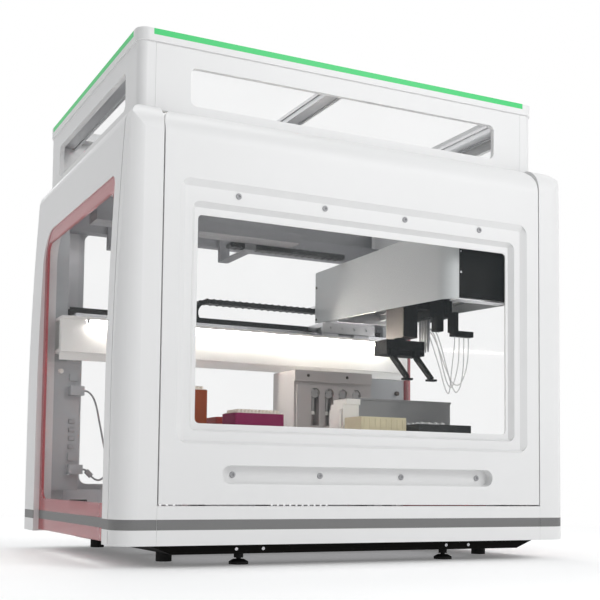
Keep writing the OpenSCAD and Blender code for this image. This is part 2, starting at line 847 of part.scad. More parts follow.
module pump_valves() {
    color([0.3, 0.3, 0.3])
    valve_places() {
        face_plate(pump_y + 4, 21) translate([0, valve_z]) difference() {
            circle(valve_r - 1.5);
            for (a = [0 : 2]) rotate(a * 90) translate([valve_r - 5, 0]) circle(1.6, $fn = 16);
        }
        // Syringe barrel below the valve
        translate([0, pump_y + 17, valve_z - 48]) difference() {
            cylinder(r = 6, h = 38);
            translate([0, 0, -1]) cylinder(r = 4, h = 36);
        }
    }
}

module pump_plungers() {
    color([0.85, 0.84, 0.8])
    valve_places() translate([0, pump_y + 17, 0]) {
        translate([0, 0, valve_z - 57]) cylinder(r = 4 - fit, h = 42);
        translate([0, 0, valve_z - 58]) cylinder(r = 7, h = 8);
    }
}

module control_box() {
    x1 = pump_x + pump_w + gap;
    color([0.56, 0.58, 0.6])
    difference() {
        block([x1, pump_y + 12, deck_z], [deck_x1, pump_y + pump_d, deck_z + pump_h - 12]);
        for (i = [0 : 4])
            face_plate(pump_y + 11, 5)
                translate([x1 + 58, deck_z + 80 + 22 * i]) rrect(14, 9, 3);
        face_plate(pump_y + 11, 6) translate([x1 + 86, deck_z + pump_h - 50]) circle(6);
        block([x1 + 3, pump_y + 20, deck_z - 1],
            [deck_x1 - 3, pump_y + pump_d - 3, deck_z + pump_h - 16]);
    }
}

panel_x0 = -inner_x + gap;
panel_x1 = -x0 + 114;
socket_x = panel_x1 + 6;
socket_z = [405, 202];
panel_y = beam_y + beam_d - 14;
module wiring_panel() {
    color([0.74, 0.74, 0.75]) {
        difference() {
            block([panel_x0, panel_y, panel_z0], [panel_x1, panel_y + 14, beam_top - beam_h - 20]);
            block([panel_x0 + 4, panel_y + 4, panel_z0 - 1], [panel_x1 - 4, panel_y + 15, panel_z0 + 300]);
            face_plate(panel_y - 1, 6) translate([panel_x0 + 18, 455]) circle(6);
            for (z = [260, 282, 304, 326])
                face_plate(panel_y - 1, 4) translate([panel_x1 - 20, z]) square([16, 12], center = true);
        }
        // Socket bodies, with the plugs of the patch cable
        for (z = socket_z)
            block([panel_x1 - 30, panel_y - 26, z - 12], [socket_x, panel_y, z + 12]);
        for (z = [440, 235])
            block([panel_x1 - 28, panel_y - 8, z - 9], [panel_x1 - 8, panel_y, z + 9]);
    }
}

socket_at = [socket_x, panel_y - 16, socket_z[0]];
module patch_cable() {
    color([0.55, 0.55, 0.56]) {
        tube(route([for (p = cable_steps) socket_at + p], 2), cable_d, [0, 1, 0]);
        tube([for (p = cable_tail) socket_at + p], cable_d, [0, 1, 0]);
    }
}

module cable_ferrite() {
    color([0.8, 0.8, 0.8])
    translate(socket_at + ferrite_at) rotate([0, 45, 0])
        rotate([0, 90, 0]) translate([0, 0, -9.5]) linear_extrude(19) rrect(13, 13, 3);
}

// Tip box: a tapered base and a lid deck that the tips stand in
module tip_box(x, y, h) {
    translate([x, y, deck_z]) {
        linear_extrude(8) square([plate_l, plate_w]);
        translate([2, 2, 8]) linear_extrude(h - 8) translate([plate_l / 2 - 2, plate_w / 2 - 2])
            rrect(plate_l - 4, plate_w - 4, 5);
    }
}

orange_x = -x0 + 184;
orange_y = yf + 305;
orange_h = 213;
magenta_x = -x0 + 333;
magenta_y = yf + 200;
magenta_h = 156;

module tip_box_orange() {
    color([0.5, 0.24, 0.12]) tip_box(orange_x, orange_y, orange_h);
}

// Two low boxes, one behind the other
module tip_boxes_low() {
    color([0.5, 0.1, 0.3]) {
        tip_box(magenta_x, magenta_y, magenta_h);
        tip_box(magenta_x, magenta_y + 110, magenta_h - 4);
    }
}

// Plate with a full set of tips standing in it
module tips_on(x, y, z) {
    block([x + 6, y + 4, z], [x + plate_l - 6, y + plate_w - 4, z + 2]);
    for (i = [0 : 11], j = [0 : 7])
        translate([x + 14 + i * 9, y + 11 + j * 9, z]) cylinder(r = 3.2, h = 9, $fn = 8);
}

module pipette_tips() {
    color([0.88, 0.86, 0.82]) {
        tips_on(orange_x, orange_y, deck_z + orange_h);
        tips_on(magenta_x, magenta_y, deck_z + magenta_h);
    }
}

module wash_station() {
    color([0.42, 0.42, 0.42])
    difference() {
        union() {
            block([wash_x, wash_y, deck_z], [wash_x + wash_w, wash_y + wash_d, deck_z + wash_h]);
            block([wash_x - 2, wash_y - 2, deck_z + wash_h - 5],
                [wash_x + wash_w + 2, wash_y + wash_d + 2, deck_z + wash_h]);
        }
        block([wash_x + 3, wash_y + 3, deck_z + 4],
            [wash_x + wash_w - 3, wash_y + wash_d - 3, deck_z + wash_h + 1]);
    }
}

module reservoir_white() {
    x = x0 - 485;
    y = yf + 255;
    h = 205;
    color([0.87, 0.84, 0.81])
    difference() {
        union() {
            block([x, y + 6, deck_z], [x + 48, y + 60, deck_z + h - 26]);
            block([x + 6, y, deck_z], [x + 50, y + 62, deck_z + h - 12]);
            block([x + 14, y - 2, deck_z + h - 14], [x + 53, y + 64, deck_z + h]);
        }
        block([x + 18, y + 3, deck_z + 20], [x + 47, y + 56, deck_z + h + 1]);
    }
}

module reservoir_beige() {
    x = x0 - 490;
    y = yf + 147;
    h = 156;
    color([0.72, 0.68, 0.54])
    difference() {
        union() {
            block([x, y, deck_z], [x + plate_l, y + plate_w, deck_z + 12]);
            block([x + 2, y + 2, deck_z + 12], [x + plate_l - 2, y + plate_w - 2, deck_z + h]);
        }
        for (i = [0 : 3])
            block([x + 6 + i * 30, y + 6, deck_z + 14],
                [x + 32 + i * 30, y + plate_w - 6, deck_z + h + 1]);
    }
}

rack_x = x0 - 336;
rack_y = yf + 137;
rack_l = 150;
rack_h = 143;
module tube_rack() {
    color([0.1, 0.1, 0.1])
    difference() {
        block([rack_x, rack_y, deck_z], [rack_x + rack_l, rack_y + plate_w, deck_z + rack_h]);
        for (i = [0 : 6], j = [0 : 3])
            translate([rack_x + 15 + i * 20, rack_y + 12 + j * 20, deck_z + 60]) cylinder(r = 6, h = 90);
    }
}

// ---------- door ----------

// Side outline of the door, shrunk inwards by s: straight face and round top
module door_side(s) {
    r = door_top_r - s;
    cy = yf + door_top_r;
    cz = panel_top - door_top_r;
    intersection() {
        union() {
            translate([yf + s, door_z - 1]) square([door_t - s, cz - door_z + 1]);
            intersection() {
                translate([cy, cz]) circle(r);
                translate([yf, cz]) square(door_top_r);
            }
        }
        translate([yf, 0]) square([door_top_r, panel_top]);
    }
}

// Sloped pocket: wide at the face, narrower at depth d
module pocket(w, z0, z1, d, slope, r) {
    intersection() {
        translate([0, 0, z0 - 1]) linear_extrude(z1 - z0 + 2)
            polygon([[-w - 2 * slope / d, yf - 2], [w + 2 * slope / d, yf - 2],
                [w - slope, yf + d], [-w + slope, yf + d]]);
        side_plate(-w - 1, 2 * w + 2)
            polygon([[yf - 2, z0 - 1], [yf + d, z0 + slope / 2], [yf + d, z1 - slope],
                [yf - 2, z1 + 2]]);
        face_plate(yf - 3, d + 6) translate([0, (z0 + z1) / 2]) rrect(2 * w, z1 - z0, r);
    }
}

door_corner_r = 45;
module door_front() {
    h = panel_top - door_z;
    translate([0, door_z + h / 2]) {
        square([2 * door_half - 2 * door_corner_r, h], center = true);
        translate([0, -door_corner_r / 2])
            square([2 * door_half, h - door_corner_r], center = true);
        for (s = [-1, 1])
            translate([s * (door_half - door_corner_r), h / 2 - door_corner_r]) circle(door_corner_r);
    }
}

grip_z = 189;
screw_x = [-305, -102, 102, 305];
hinge_x = [-360, 0, 360];
hinge_foot = frame_top - 44;
knuckle_w = 50;
knuckle_r = 12;

module door_shell() {
    color([0.93, 0.93, 0.93])
    difference() {
        union() {
            difference() {
                intersection() {
                    side_plate(-door_half, 2 * door_half) door_side(0);
                    face_plate(yf - 1, 200) door_front();
                }
                // Hollow behind the curved top
                side_plate(-door_half + door_wall, 2 * (door_half - door_wall)) intersection() {
                    translate([yf + door_top_r, panel_top - door_top_r]) circle(door_top_r - door_wall);
                    translate([yf + door_wall, panel_top - door_top_r - 1])
                        square([door_top_r, door_top_r]);
                }
                // Hollow behind the face, above and below the window steps
                block([-door_half + door_wall, yf + 10, win_z1 + 73],
                    [door_half - door_wall, yf + door_t + 1, panel_top - door_top_r]);
                block([-door_half + door_wall, yf + 10, door_z + door_wall],
                    [door_half - door_wall, yf + door_t + 1, grip_z - grip_h / 2 - 6]);
                block([-door_half + door_wall, yf + 10, grip_z + grip_h / 2 + 6],
                    [door_half - door_wall, yf + door_t + 1, win_z0 - 51]);
            }
            // Knuckles that turn on the hinge pins
            for (x = hinge_x)
                translate([x - knuckle_w / 2, hinge_y, hinge_z]) rotate([0, 90, 0])
                    cylinder(r = knuckle_r, h = knuckle_w);
            intersection() {
                for (x = hinge_x)
                    block([x - knuckle_w / 2, yf, hinge_z - 9],
                        [x + knuckle_w / 2, hinge_y, hinge_z + 9]);
                side_plate(-door_half, 2 * door_half) door_side(2);
            }
        }
        pocket(win_half + 47, win_z0 - 43, win_z1 + 69, step_1, 14, 26);
        translate([0, step_1, 0])
            pocket(win_half + 17, win_z0 - 17, win_z1 + 25, step_2 - step_1, 10, 18);
        face_plate(yf - 1, door_t + 2)
            translate([0, (win_z0 + win_z1) / 2]) rrect(2 * win_half, win_z1 - win_z0, 10);
        face_plate(yf - 1, grip_d + 1) translate([0, grip_z])
            rrect(2 * grip_half, grip_h, grip_h / 2 - 0.01);
        for (x = hinge_x)
            translate([x - knuckle_w, hinge_y, hinge_z]) rotate([0, 90, 0])
                cylinder(r = pin_r + fit, h = 2 * knuckle_w);
        // Seat of the window pane, cut from behind
        face_plate(yf + step_2 + 3, door_t)
            translate([0, (win_z0 + win_z1) / 2])
            rrect(2 * win_half + 24, win_z1 - win_z0 + 24, 12);
    }
}

module door_window() {
    color([0.85, 0.9, 0.92, 0.3])
    face_plate(yf + step_2 + 3, pane_t)
        translate([0, (win_z0 + win_z1) / 2])
        rrect(2 * win_half + 24 - 2 * gap, win_z1 - win_z0 + 24 - 2 * gap, 12);
}

module hinge_pins() {
    color([0.6, 0.6, 0.62])
    for (x = hinge_x) {
        translate([x - knuckle_w / 2 - 12, hinge_y, hinge_z]) rotate([0, 90, 0])
            cylinder(r = pin_r, h = knuckle_w + 24);
        for (s = [-1, 1])
            translate([x + s * (knuckle_w / 2 + 7), 0, 0]) union() {
                    block([-5, hinge_y - 7, hinge_foot], [5, hinge_y + 7, hinge_z]);
                    translate([-5, hinge_y, hinge_z]) rotate([0, 90, 0]) cylinder(r = 9, h = 10);
                    block([-5, hinge_y - 7, hinge_foot], [5, post_front_y - 18, hinge_foot + 22]);
                    block([-12, post_front_y - 22, hinge_foot], [12, post_front_y - 18, hinge_foot + 30]);
            }
    }
}

// ---------- arm ----------

// Wedge below the arm's sloping lower edge
module below_arm() {
    side_plate(arm_x - 50, arm_w + 100)
        polygon([[arm_front - 10, 0], [arm_back + 50, 0], [arm_back + 50, arm_bottom + arm_rise],
            [arm_front + arm_r, arm_bottom], [arm_front - 10, arm_bottom]]);
}

cover_back = arm_back - 6;
end_x0 = arm_x + arm_r + 8;
module arm_cover() {
    color([0.68, 0.69, 0.69])
    difference() {
        union() {
            translate([0, 0, arm_bottom - 5]) linear_extrude(arm_top - arm_bottom + 5) {
                translate([arm_x, arm_front + arm_r])
                    square([sheet_t, cover_back - arm_front - arm_r]);
                translate([arm_x1 - sheet_t, arm_front + sheet_t + 2])
                    square([sheet_t, cover_back - arm_front - sheet_t - 2]);
                translate([arm_x + arm_r, arm_front + arm_r]) intersection() {
                    difference() {
                        circle(arm_r);
                        circle(arm_r - sheet_t);
                    }
                    translate([-arm_r, -arm_r]) square(arm_r);
                }
                translate([arm_x + arm_r - eps, arm_front]) square([8 + eps, sheet_t]);
            }
            // Top sheet
            block([arm_x + sheet_t - 1, arm_front + arm_r, arm_top - sheet_t],
                [arm_x1 - sheet_t + 1, cover_back, arm_top]);
            block([arm_x + arm_r, arm_front + sheet_t - 1, arm_top - sheet_t],
                [arm_x1 - sheet_t + 1, arm_front + arm_r + 1, arm_top]);
        }
        below_arm();
        // Slot in the top for the cables
        block([arm_x + 50, beam_y - 190, arm_top - sheet_t - 1],
            [arm_x + 70, beam_y - 70, arm_top + 1]);
    }
}

module arm_end_plate() {
    color([0.07, 0.065, 0.06])
    block([end_x0, arm_front, arm_bottom + 6],
        [arm_x1, arm_front + sheet_t + 2 - gap, arm_top - sheet_t - gap]);
}

module arm_spine() {
    color([0.72, 0.68, 0.6]) {
        difference() {
            union() {
                block([spine_x, arm_front + 6, spine_z0],
                    [spine_x + spine_w, arm_back, spine_z1]);
                for (z = yrail_z)
                    block([spine_x - yrail_t, arm_front + 20, z],
                        [spine_x + 1, beam_y - 45, z + yrail_w]);
            }
            block([spine_x + 8, arm_front + 30, spine_z0 - 1],
                [spine_x + spine_w - 8, beam_y - 60, spine_z0 + 60]);
        }
        // Foot of the spine, seen from below
        difference() {
            block([end_x0, arm_front + 6, arm_bottom + 2],
                [arm_x1 - sheet_t - gap, arm_front + 40, arm_bottom + 5]);
            translate([arm_x1 - 24, arm_front + 24, arm_bottom]) cylinder(r = 4, h = 10);
        }
        block([spine_x, arm_front + 6, arm_bottom + 4],
            [spine_x + 4, arm_front + 40, spine_z0 + 1]);
        block([arm_x1 - sheet_t - gap - 3, arm_front + 40, arm_bottom + 28],
            [arm_x1 - sheet_t - gap, beam_y - 60, spine_z0 + 1]);
    }
}

carriage_x0 = arm_x - 20;
carriage_x1 = carriage_x0 + 170;
block_h = 24;
module arm_carriage() {
    color([0.5, 0.54, 0.58])
    difference() {
        union() {
            // Bearing blocks over the two rails
            for (y = rail_y, x = [carriage_x0 + 10, carriage_x1 - 60])
                block([x, y - 8, beam_top + 2], [x + 50, y + rail_w + 8, beam_top + 2 + block_h]);
            block([carriage_x0, beam_y - 6, beam_top + 1 + block_h],
                [carriage_x1, beam_y + beam_d, beam_top + 14 + block_h]);
            block([carriage_x0, beam_y - 12, beam_top + 10],
                [carriage_x1, beam_y - 5, beam_top + 16 + block_h]);
            // Upright that carries the spine
            block([arm_x + 8, beam_y - 50, beam_top + 14 + block_h],
                [spine_x - gap, beam_y + beam_d - 8, spine_z0 + 12]);
            block([arm_x + 60, beam_y - 44, spine_z0 + 10],
                [spine_x, beam_y + beam_d - 8, spine_z1 - 10]);
            block([spine_x - 2, beam_y - 44, beam_top + 14 + block_h],
                [spine_x + spine_w, beam_y + beam_d - 8, spine_z0]);
            // Pair of rods that run forward inside the arm
            for (x = [arm_x + 22, arm_x + 40])
                translate([x, beam_y - 120, spine_z0 + 6]) rotate([-90, 0, 0]) cylinder(r = 6, h = 75);
            // Bracket over the chain's upper run
            block([arm_x + 10, beam_y + beam_d - 10, chain_top + 4],
                [arm_x + 60, trough_y0 + trough_w, chain_top + 8]);
            block([arm_x + 10, beam_y + beam_d - 10, spine_z0 + 8],
                [arm_x + 61, beam_y + beam_d - 6, chain_top + 8]);
        }
        for (y = rail_y)
            block([carriage_x0 - 1, y - gap, beam_top], [carriage_x1 + 1, y + rail_w + gap, rail_top + gap]);
        for (x = [carriage_x0 + 24, carriage_x0 + 60, carriage_x0 + 100, carriage_x0 + 140])
            face_plate(beam_y - 20, 12) translate([x, beam_top + 24]) circle(4);
    }
}

// ---------- pod ----------

sleeve_x0 = probe_x - 20;
module pod_body() {
    color([0.09, 0.09, 0.09])
    difference() {
        union() {
            // Back plate that runs on the arm's rails
            block([pod_x1 - 16, pod_y - pod_d / 2, sleeve_z0], [pod_x1, pod_y + pod_d / 2, mast_z1]);
            // Sleeve block of the probes
            block([sleeve_x0, pod_y - 48, sleeve_z0], [pod_x1 - 15, pod_y + 48, sleeve_z1]);
            // Guide of the gripper mast
            block([mast_x + mast_w + gap, pod_y - 44, sleeve_z0 + 20],
                [sleeve_x0 + 1, pod_y + 34, sleeve_z1]);
            // Sensor box in front of the probes
            block([probe_x - 8, pod_y - 58, sleeve_z0 - 36], [probe_x + 13, pod_y - 34, sleeve_z0 + 9]);
        }
        for (z = yrail_z)
            block([spine_x - yrail_t - gap, pod_y - pod_d, z - gap],
                [spine_x + 1, pod_y + pod_d, z + yrail_w + gap]);
        for (i = [0 : 3])
            translate([probe_x, probe_y0 + i * probe_pitch, sleeve_z0 - 1])
                cylinder(r = barrel_r + fit, h = 200);
    }
}

module tubing_manifold() {
    color([0.14, 0.13, 0.12]) {
        block([probe_x + 17, manifold_y - 10, tube_end_z],
            [probe_x + 77, manifold_y + 10, tube_end_z + 14]);
        block([pod_x1 - 14, pod_y - pod_d / 2 - 34, tube_end_z + 12],
            [pod_x1 - 4, pod_y - pod_d / 2, sleeve_z0 + 10]);
    }
}

module gripper_mast() {
    color([0.33, 0.28, 0.25])
    difference() {
        union() {
            block([mast_x, mast_y - mast_d / 2, mast_z0],
                [mast_x + mast_w, mast_y + mast_d / 2, mast_z1]);
        }
        block([mast_x + 6, mast_y - 30, mast_z0 + 30], [mast_x + mast_w + 1, mast_y + 30, mast_z1 - 60]);
        translate([turn_x, turn_y, mast_z0 - 1]) cylinder(r = 9 + fit, h = 21);
    }
}

module gripper_head() {
    color([0.06, 0.06, 0.055])
    translate([turn_x, turn_y, 0]) {
        difference() {
            block([-head_w / 2, -head_d / 2, head_z], [head_w / 2, head_d / 2, head_z + head_h]);
            // Rail slot of the fingers
            block([-head_w / 2 + 6, -head_d / 2 - 1, head_z - 1],
                [head_w / 2 - 6, -head_d / 2 + 12, head_z + 14]);
            for (s = [-1, 1])
                translate([s * (head_w / 2 - 5), -head_d / 2 + 4, head_z + 26])
                    rotate([90, 0, 0]) cylinder(r = 3, h = 10);
        }
        translate([0, 0, head_z + head_h - 1]) cylinder(r = 16, h = 9 - gap);
        translate([0, 0, head_z + head_h]) cylinder(r = 9, h = 26);
    }
}

// Finger: a slider, a forward sloping blade and a gripping pad, for side s
module finger(s) {
    x = turn_x + s * finger_x;
    color([0.2, 0.17, 0.15]) {
        block([x - 9, turn_y - head_d / 2 + gap, head_z - 4],
            [x + 9, turn_y - head_d / 2 + 12 - gap, head_z + 14 - gap]);
        side_plate(x - 5, 10)
            polygon([[turn_y - head_d / 2 + 12 - gap, head_z - 4],
                [turn_y - head_d / 2 - 4, head_z - 4],
                [turn_y - head_d / 2 - finger_reach + 6, head_z - finger_drop],
                [turn_y - head_d / 2 - finger_reach + 18, head_z - finger_drop - 4],
                [turn_y - head_d / 2 + 10, head_z - 10]]);
        block([x - 12, turn_y - head_d / 2 - finger_reach + 4, head_z - finger_drop - 8],
            [x + 12, turn_y - head_d / 2 - finger_reach + 20, head_z - finger_drop - 3]);
    }
}

module finger_left() {
    finger(-1);
}

module finger_right() {
    finger(1);
}

// Probe: barrel, disposable tip mandrel and the barb that takes its tube
module probe(k) {
    y = probe_y0 + k * probe_pitch;
    color([0.2, 0.2, 0.21]) {
        translate([probe_x, y, probe_tip_z + 33]) cylinder(r = barrel_r, h = mast_z1 - probe_tip_z - 33);
        translate([probe_x, y, probe_tip_z + 14]) cylinder(r1 = 3, r2 = barrel_r, h = 20);
        translate([probe_x, y, probe_tip_z]) cylinder(r1 = 1.6, r2 = 3, h = 15);
        translate([probe_x, y, barb_z]) rotate([0, 90, 0]) cylinder(r = 2.2, h = barb_l);
    }
}

module probe_1() {
    probe(0);
}

module probe_2() {
    probe(1);
}

module probe_3() {
    probe(2);
}

module probe_4() {
    probe(3);
}

module probe_tube(k) {
    color([0.85, 0.82, 0.8]) tube(route([for (p = tube_steps[k]) [probe_x, pod_y, probe_tip_z] + p], 2), tube_d, [0.7, 0, 0.7]);
}

module probe_tube_1() {
    probe_tube(0);
}

module probe_tube_2() {
    probe_tube(1);
}

module probe_tube_3() {
    probe_tube(2);
}

module probe_tube_4() {
    probe_tube(3);
}

// ---------- parts ----------

base_chassis();
levelling_feet();
floor_pan();
front_fascia();
grey_band();
side_panel_left();
side_panel_right();
side_trims();
side_panes();
rear_panel();
rear_pane();
cabinet_frame();
header_rails();
canopy_frame();
canopy_panes();
canopy_lid();
status_light();
roof_rails();
gantry_beam();
beam_rails();
light_strip();
chain_trough();
deck_plate();
pump_housing();
pump_valves();
pump_plungers();
control_box();
wiring_panel();
patch_cable();
cable_ferrite();
tip_box_orange();
tip_boxes_low();
pipette_tips();
wash_station();
reservoir_white();
reservoir_beige();
tube_rack();
door_shell();
door_window();
hinge_pins();
cable_chain();
upper_chain();
arm_cover();
arm_end_plate();
arm_spine();
arm_carriage();
pod_body();
tubing_manifold();
gripper_mast();
gripper_head();
finger_left();
finger_right();
probe_1();
probe_2();
probe_3();
probe_4();
probe_tube_1();
probe_tube_2();
probe_tube_3();
probe_tube_4();
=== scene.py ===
"""Looks, small fittings, light and camera for the enclosed liquid handling robot."""

from math import cos, pi, radians, sin

import bmesh
import bpy
from mathutils import Matrix, Vector


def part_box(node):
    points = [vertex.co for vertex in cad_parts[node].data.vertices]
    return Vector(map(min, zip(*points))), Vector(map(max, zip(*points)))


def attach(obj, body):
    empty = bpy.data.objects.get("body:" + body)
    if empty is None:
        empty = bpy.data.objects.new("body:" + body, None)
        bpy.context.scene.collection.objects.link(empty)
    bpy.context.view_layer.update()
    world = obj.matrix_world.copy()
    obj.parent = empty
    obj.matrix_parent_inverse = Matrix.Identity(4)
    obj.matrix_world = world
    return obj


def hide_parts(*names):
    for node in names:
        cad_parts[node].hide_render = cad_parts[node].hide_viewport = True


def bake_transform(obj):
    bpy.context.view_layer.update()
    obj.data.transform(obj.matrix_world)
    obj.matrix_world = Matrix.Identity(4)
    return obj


bl_info = {
    "name": "Liquid Handling Robot",
    "version": (1, 0, 0),
    "blender": (4, 5, 0),
    "location": "View3D > Sidebar > Robot",
    "description": "Builds the finishes and small fittings of an enclosed liquid handling robot",
    "category": "Object",
}

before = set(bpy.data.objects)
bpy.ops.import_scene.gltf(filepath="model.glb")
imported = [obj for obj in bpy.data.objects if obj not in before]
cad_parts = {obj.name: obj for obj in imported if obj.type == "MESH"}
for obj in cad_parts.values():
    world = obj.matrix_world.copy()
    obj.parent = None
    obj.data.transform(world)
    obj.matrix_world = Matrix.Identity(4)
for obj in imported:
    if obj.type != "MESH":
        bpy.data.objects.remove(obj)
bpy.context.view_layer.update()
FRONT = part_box("front_fascia")[0][1]

# Painted shade on the inside of the canopy's rear wall, dark grey where the white wall is in
# shade: nearest and farthest y, upper edge, half its width
CANOPY_SIDE, CANOPY_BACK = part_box("canopy_frame")[1][:2]
PAINTED_SHADE_DEPTH = (CANOPY_BACK - 0.04, CANOPY_BACK - 0.006)
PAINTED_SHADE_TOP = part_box("canopy_panes")[0][2]
PAINTED_SHADE_HALF = CANOPY_SIDE - 0.02

# A y between the front low box and the one behind it
LOW_BOX_GAP = -0.13

# Noise scales and depth of the fine relief in paint and plastic
ORANGE_PEEL = 900.0
SPARK_TEXTURE = 1400.0
RELIEF = 0.0003

# Points closer than this are one, and edges sharper than this stay sharp
WELD = 1e-6
SHARP = radians(35)

WHITE = (1, 1, 1, 1)
UP = (0, 0, 1)
LEFT = (-1, 0, 0)
FORWARD = (0, -1, 0)
BACKWARD = (0, 1, 0)


# ---------- shader nodes ----------


class Link:
    """A node socket that Python's operators work on."""

    def __init__(self, tree, socket):
        self.tree = tree
        self.socket = socket

    def _maths(self, operation, other, clamp=False):
        return self.tree.make(
            "ShaderNodeMath", {0: self, 1: other}, {"operation": operation, "use_clamp": clamp}
        )

    def __add__(self, other):
        return self._maths("ADD", other)

    def __sub__(self, other):
        return self._maths("SUBTRACT", other)

    def __mul__(self, other):
        return self._maths("MULTIPLY", other)

    def over(self, limit):
        return self._maths("GREATER_THAN", limit)

    def under(self, limit):
        return self._maths("LESS_THAN", limit)

    def greater(self, other):
        return self._maths("MAXIMUM", other)

    def clamped(self):
        return self._maths("ADD", 0.0, clamp=True)

    def part(self, name):
        """Another output of the same node."""
        return Link(self.tree, self.socket.node.outputs[name])


class Tree:
    """The node tree of a new material or world."""

    def __init__(self, name, kind="materials"):
        self.owner = getattr(bpy.data, kind).new(name)
        self.owner.use_nodes = True
        self.nodes = self.owner.node_tree.nodes
        self.links = self.owner.node_tree.links
        self.nodes.clear()

    def make(self, kind, values=None, settings=None, output=0):
        """Adds a node; output=None is for a node that has none."""
        node = self.nodes.new(kind)
        for name, value in (settings or {}).items():
            setattr(node, name, value)
        for name, value in (values or {}).items():
            socket = node.inputs[name]
            if isinstance(value, Link):
                self.links.new(value.socket, socket)
            else:
                socket.default_value = value
        return None if output is None else Link(self, node.outputs[output])

    def coords(self):
        return self.make("ShaderNodeTexCoord", output="Object")

    def xyz(self):
        """The three object coordinates, one by one."""
        place = self.make("ShaderNodeSeparateXYZ", {0: self.coords()})
        return [place.part(axis) for axis in "XYZ"]

    def noise(self, scale, detail=2.0, stretch=(1, 1, 1)):
        """Noise on the object coordinates, finer along the axes that are stretched."""
        place = self.make("ShaderNodeMapping", {"Vector": self.coords(), "Scale": stretch})
        return self.make(
            "ShaderNodeTexNoise", {"Vector": place, "Scale": scale, "Detail": detail}
        )

    def tint(self, factor, first, second):
        """Colour between two colours."""
        return self.make(
            "ShaderNodeMix", {0: factor, 6: first, 7: second}, {"data_type": "RGBA"}, output=2
        )

    def bump(self, height, strength):
        return self.make(
            "ShaderNodeBump", {"Height": height, "Strength": strength, "Distance": RELIEF}
        )

    def finish(self, **values):
        """The surface shader, with underscores for the spaces in socket names."""
        names = {name.replace("_", " "): value for name, value in values.items()}
        surface = self.make("ShaderNodeBsdfPrincipled", names)
        self.make("ShaderNodeOutputMaterial", {"Surface": surface}, output=None)
        return self.owner


def colour(r, g, b):
    """Linear colour from the screen values of a paint sample."""
    linear = (((v + 0.055) / 1.055) ** 2.4 if v > 0.04 else v / 12.92 for v in (r, g, b))
    return (*linear, 1.0)


def opaque(tone):
    return (*tone, 1.0)


def shade(tone, k):
    return tuple(min(1.0, v * k) for v in tone[:3]) + (1.0,)


def powder_coat(name, tone, roughness=0.42, specular=0.5):
    """Sprayed and baked paint, with a fine orange peel and a trace of handling."""
    t = Tree(name)
    peel = t.noise(ORANGE_PEEL)
    cloud = t.noise(6.0, 3.0)
    return t.finish(
        Base_Color=t.tint(cloud, shade(tone, 0.97), shade(tone, 1.02)),
        Roughness=cloud * 0.1 + (roughness - 0.05),
        Specular_IOR_Level=specular,
        Normal=t.bump(peel, 0.05),
    )


def moulded(name, tone, roughness=0.5, grain=SPARK_TEXTURE, strength=0.2, specular=0.3):
    """Moulded plastic with a fine spark-eroded texture."""
    t = Tree(name)
    texture = t.noise(grain, 1.0)
    cloud = t.noise(18.0)
    return t.finish(
        Base_Color=t.tint(cloud, shade(tone, 0.94), shade(tone, 1.05)),
        Roughness=cloud * 0.14 + (roughness - 0.07),
        Specular_IOR_Level=specular,
        Normal=t.bump(texture, strength),
    )


def metal(name, tone, roughness=0.32, stretch=(1, 1, 40), metallic=1.0):
    """Ground or extruded metal with fine lines across the stretched axis."""
    t = Tree(name)
    lines = t.noise(60.0, 3.0, stretch)
    return t.finish(
        Base_Color=t.tint(lines, shade(tone, 0.9), shade(tone, 1.06)),
        Metallic=metallic,
        Roughness=lines * 0.14 + (roughness - 0.07),
        Normal=t.bump(lines, 0.08),
    )


def two_box_plastic():
    """Moulded plastic, magenta on the front box and red on the one behind it."""
    t = Tree("low box plastic")
    texture = t.noise(SPARK_TEXTURE, 1.0)
    cloud = t.noise(18.0)
    depth = t.xyz()[1]
    return t.finish(
        Base_Color=t.tint(
            depth.over(LOW_BOX_GAP),
            t.tint(cloud, colour(0.5, 0.05, 0.28), colour(0.54, 0.07, 0.31)),
            t.tint(cloud, colour(0.58, 0.17, 0.15), colour(0.62, 0.2, 0.17)),
        ),
        Roughness=cloud * 0.14 + 0.33,
        Specular_IOR_Level=0.08,
        Normal=t.bump(texture, 0.2),
    )


def paint_with_painted_shade(tone):
    """Canopy paint with painted shade: dark grey inside the rear wall under its window, where the
    white wall is in shade.
    """
    t = Tree("canopy paint")
    peel = t.noise(ORANGE_PEEL)
    cloud = t.noise(6.0, 3.0)
    x, y, z = t.xyz()
    # Painted shade: the inside of the rear wall under the window is coloured dark grey instead of
    # the shell's white
    inside = y.over(PAINTED_SHADE_DEPTH[0]) * y.under(PAINTED_SHADE_DEPTH[1])
    painted_shade_mask = inside * z.under(PAINTED_SHADE_TOP) * (x * x).under(PAINTED_SHADE_HALF**2)
    return t.finish(
        Base_Color=t.tint(
            painted_shade_mask,
            t.tint(cloud, shade(tone, 0.97), shade(tone, 1.02)),
            t.tint(cloud, colour(0.44, 0.44, 0.45), colour(0.47, 0.47, 0.48)),
        ),
        Roughness=cloud * 0.1 + 0.35,
        Normal=t.bump(peel, 0.05),
    )


def see_through(name, tone, alpha, roughness=0.04):
    """Clear or tinted acrylic sheet, a little smudged."""
    t = Tree(name)
    smudge = t.noise(9.0, 4.0)
    return t.finish(
        Base_Color=tone,
        Roughness=smudge * 0.05 + roughness,
        Alpha=smudge * 0.02 + (alpha - 0.01),
        IOR=1.49,
    )


def lit(name, tone, strength):
    """Diffuser of a lamp."""
    t = Tree(name)
    glow = t.noise(30.0, 1.0)
    return t.finish(
        Base_Color=tone,
        Roughness=0.4,
        Emission_Color=t.tint(glow, shade(tone, 0.94), tone),
        Emission_Strength=strength,
    )


# ---------- mesh pieces ----------


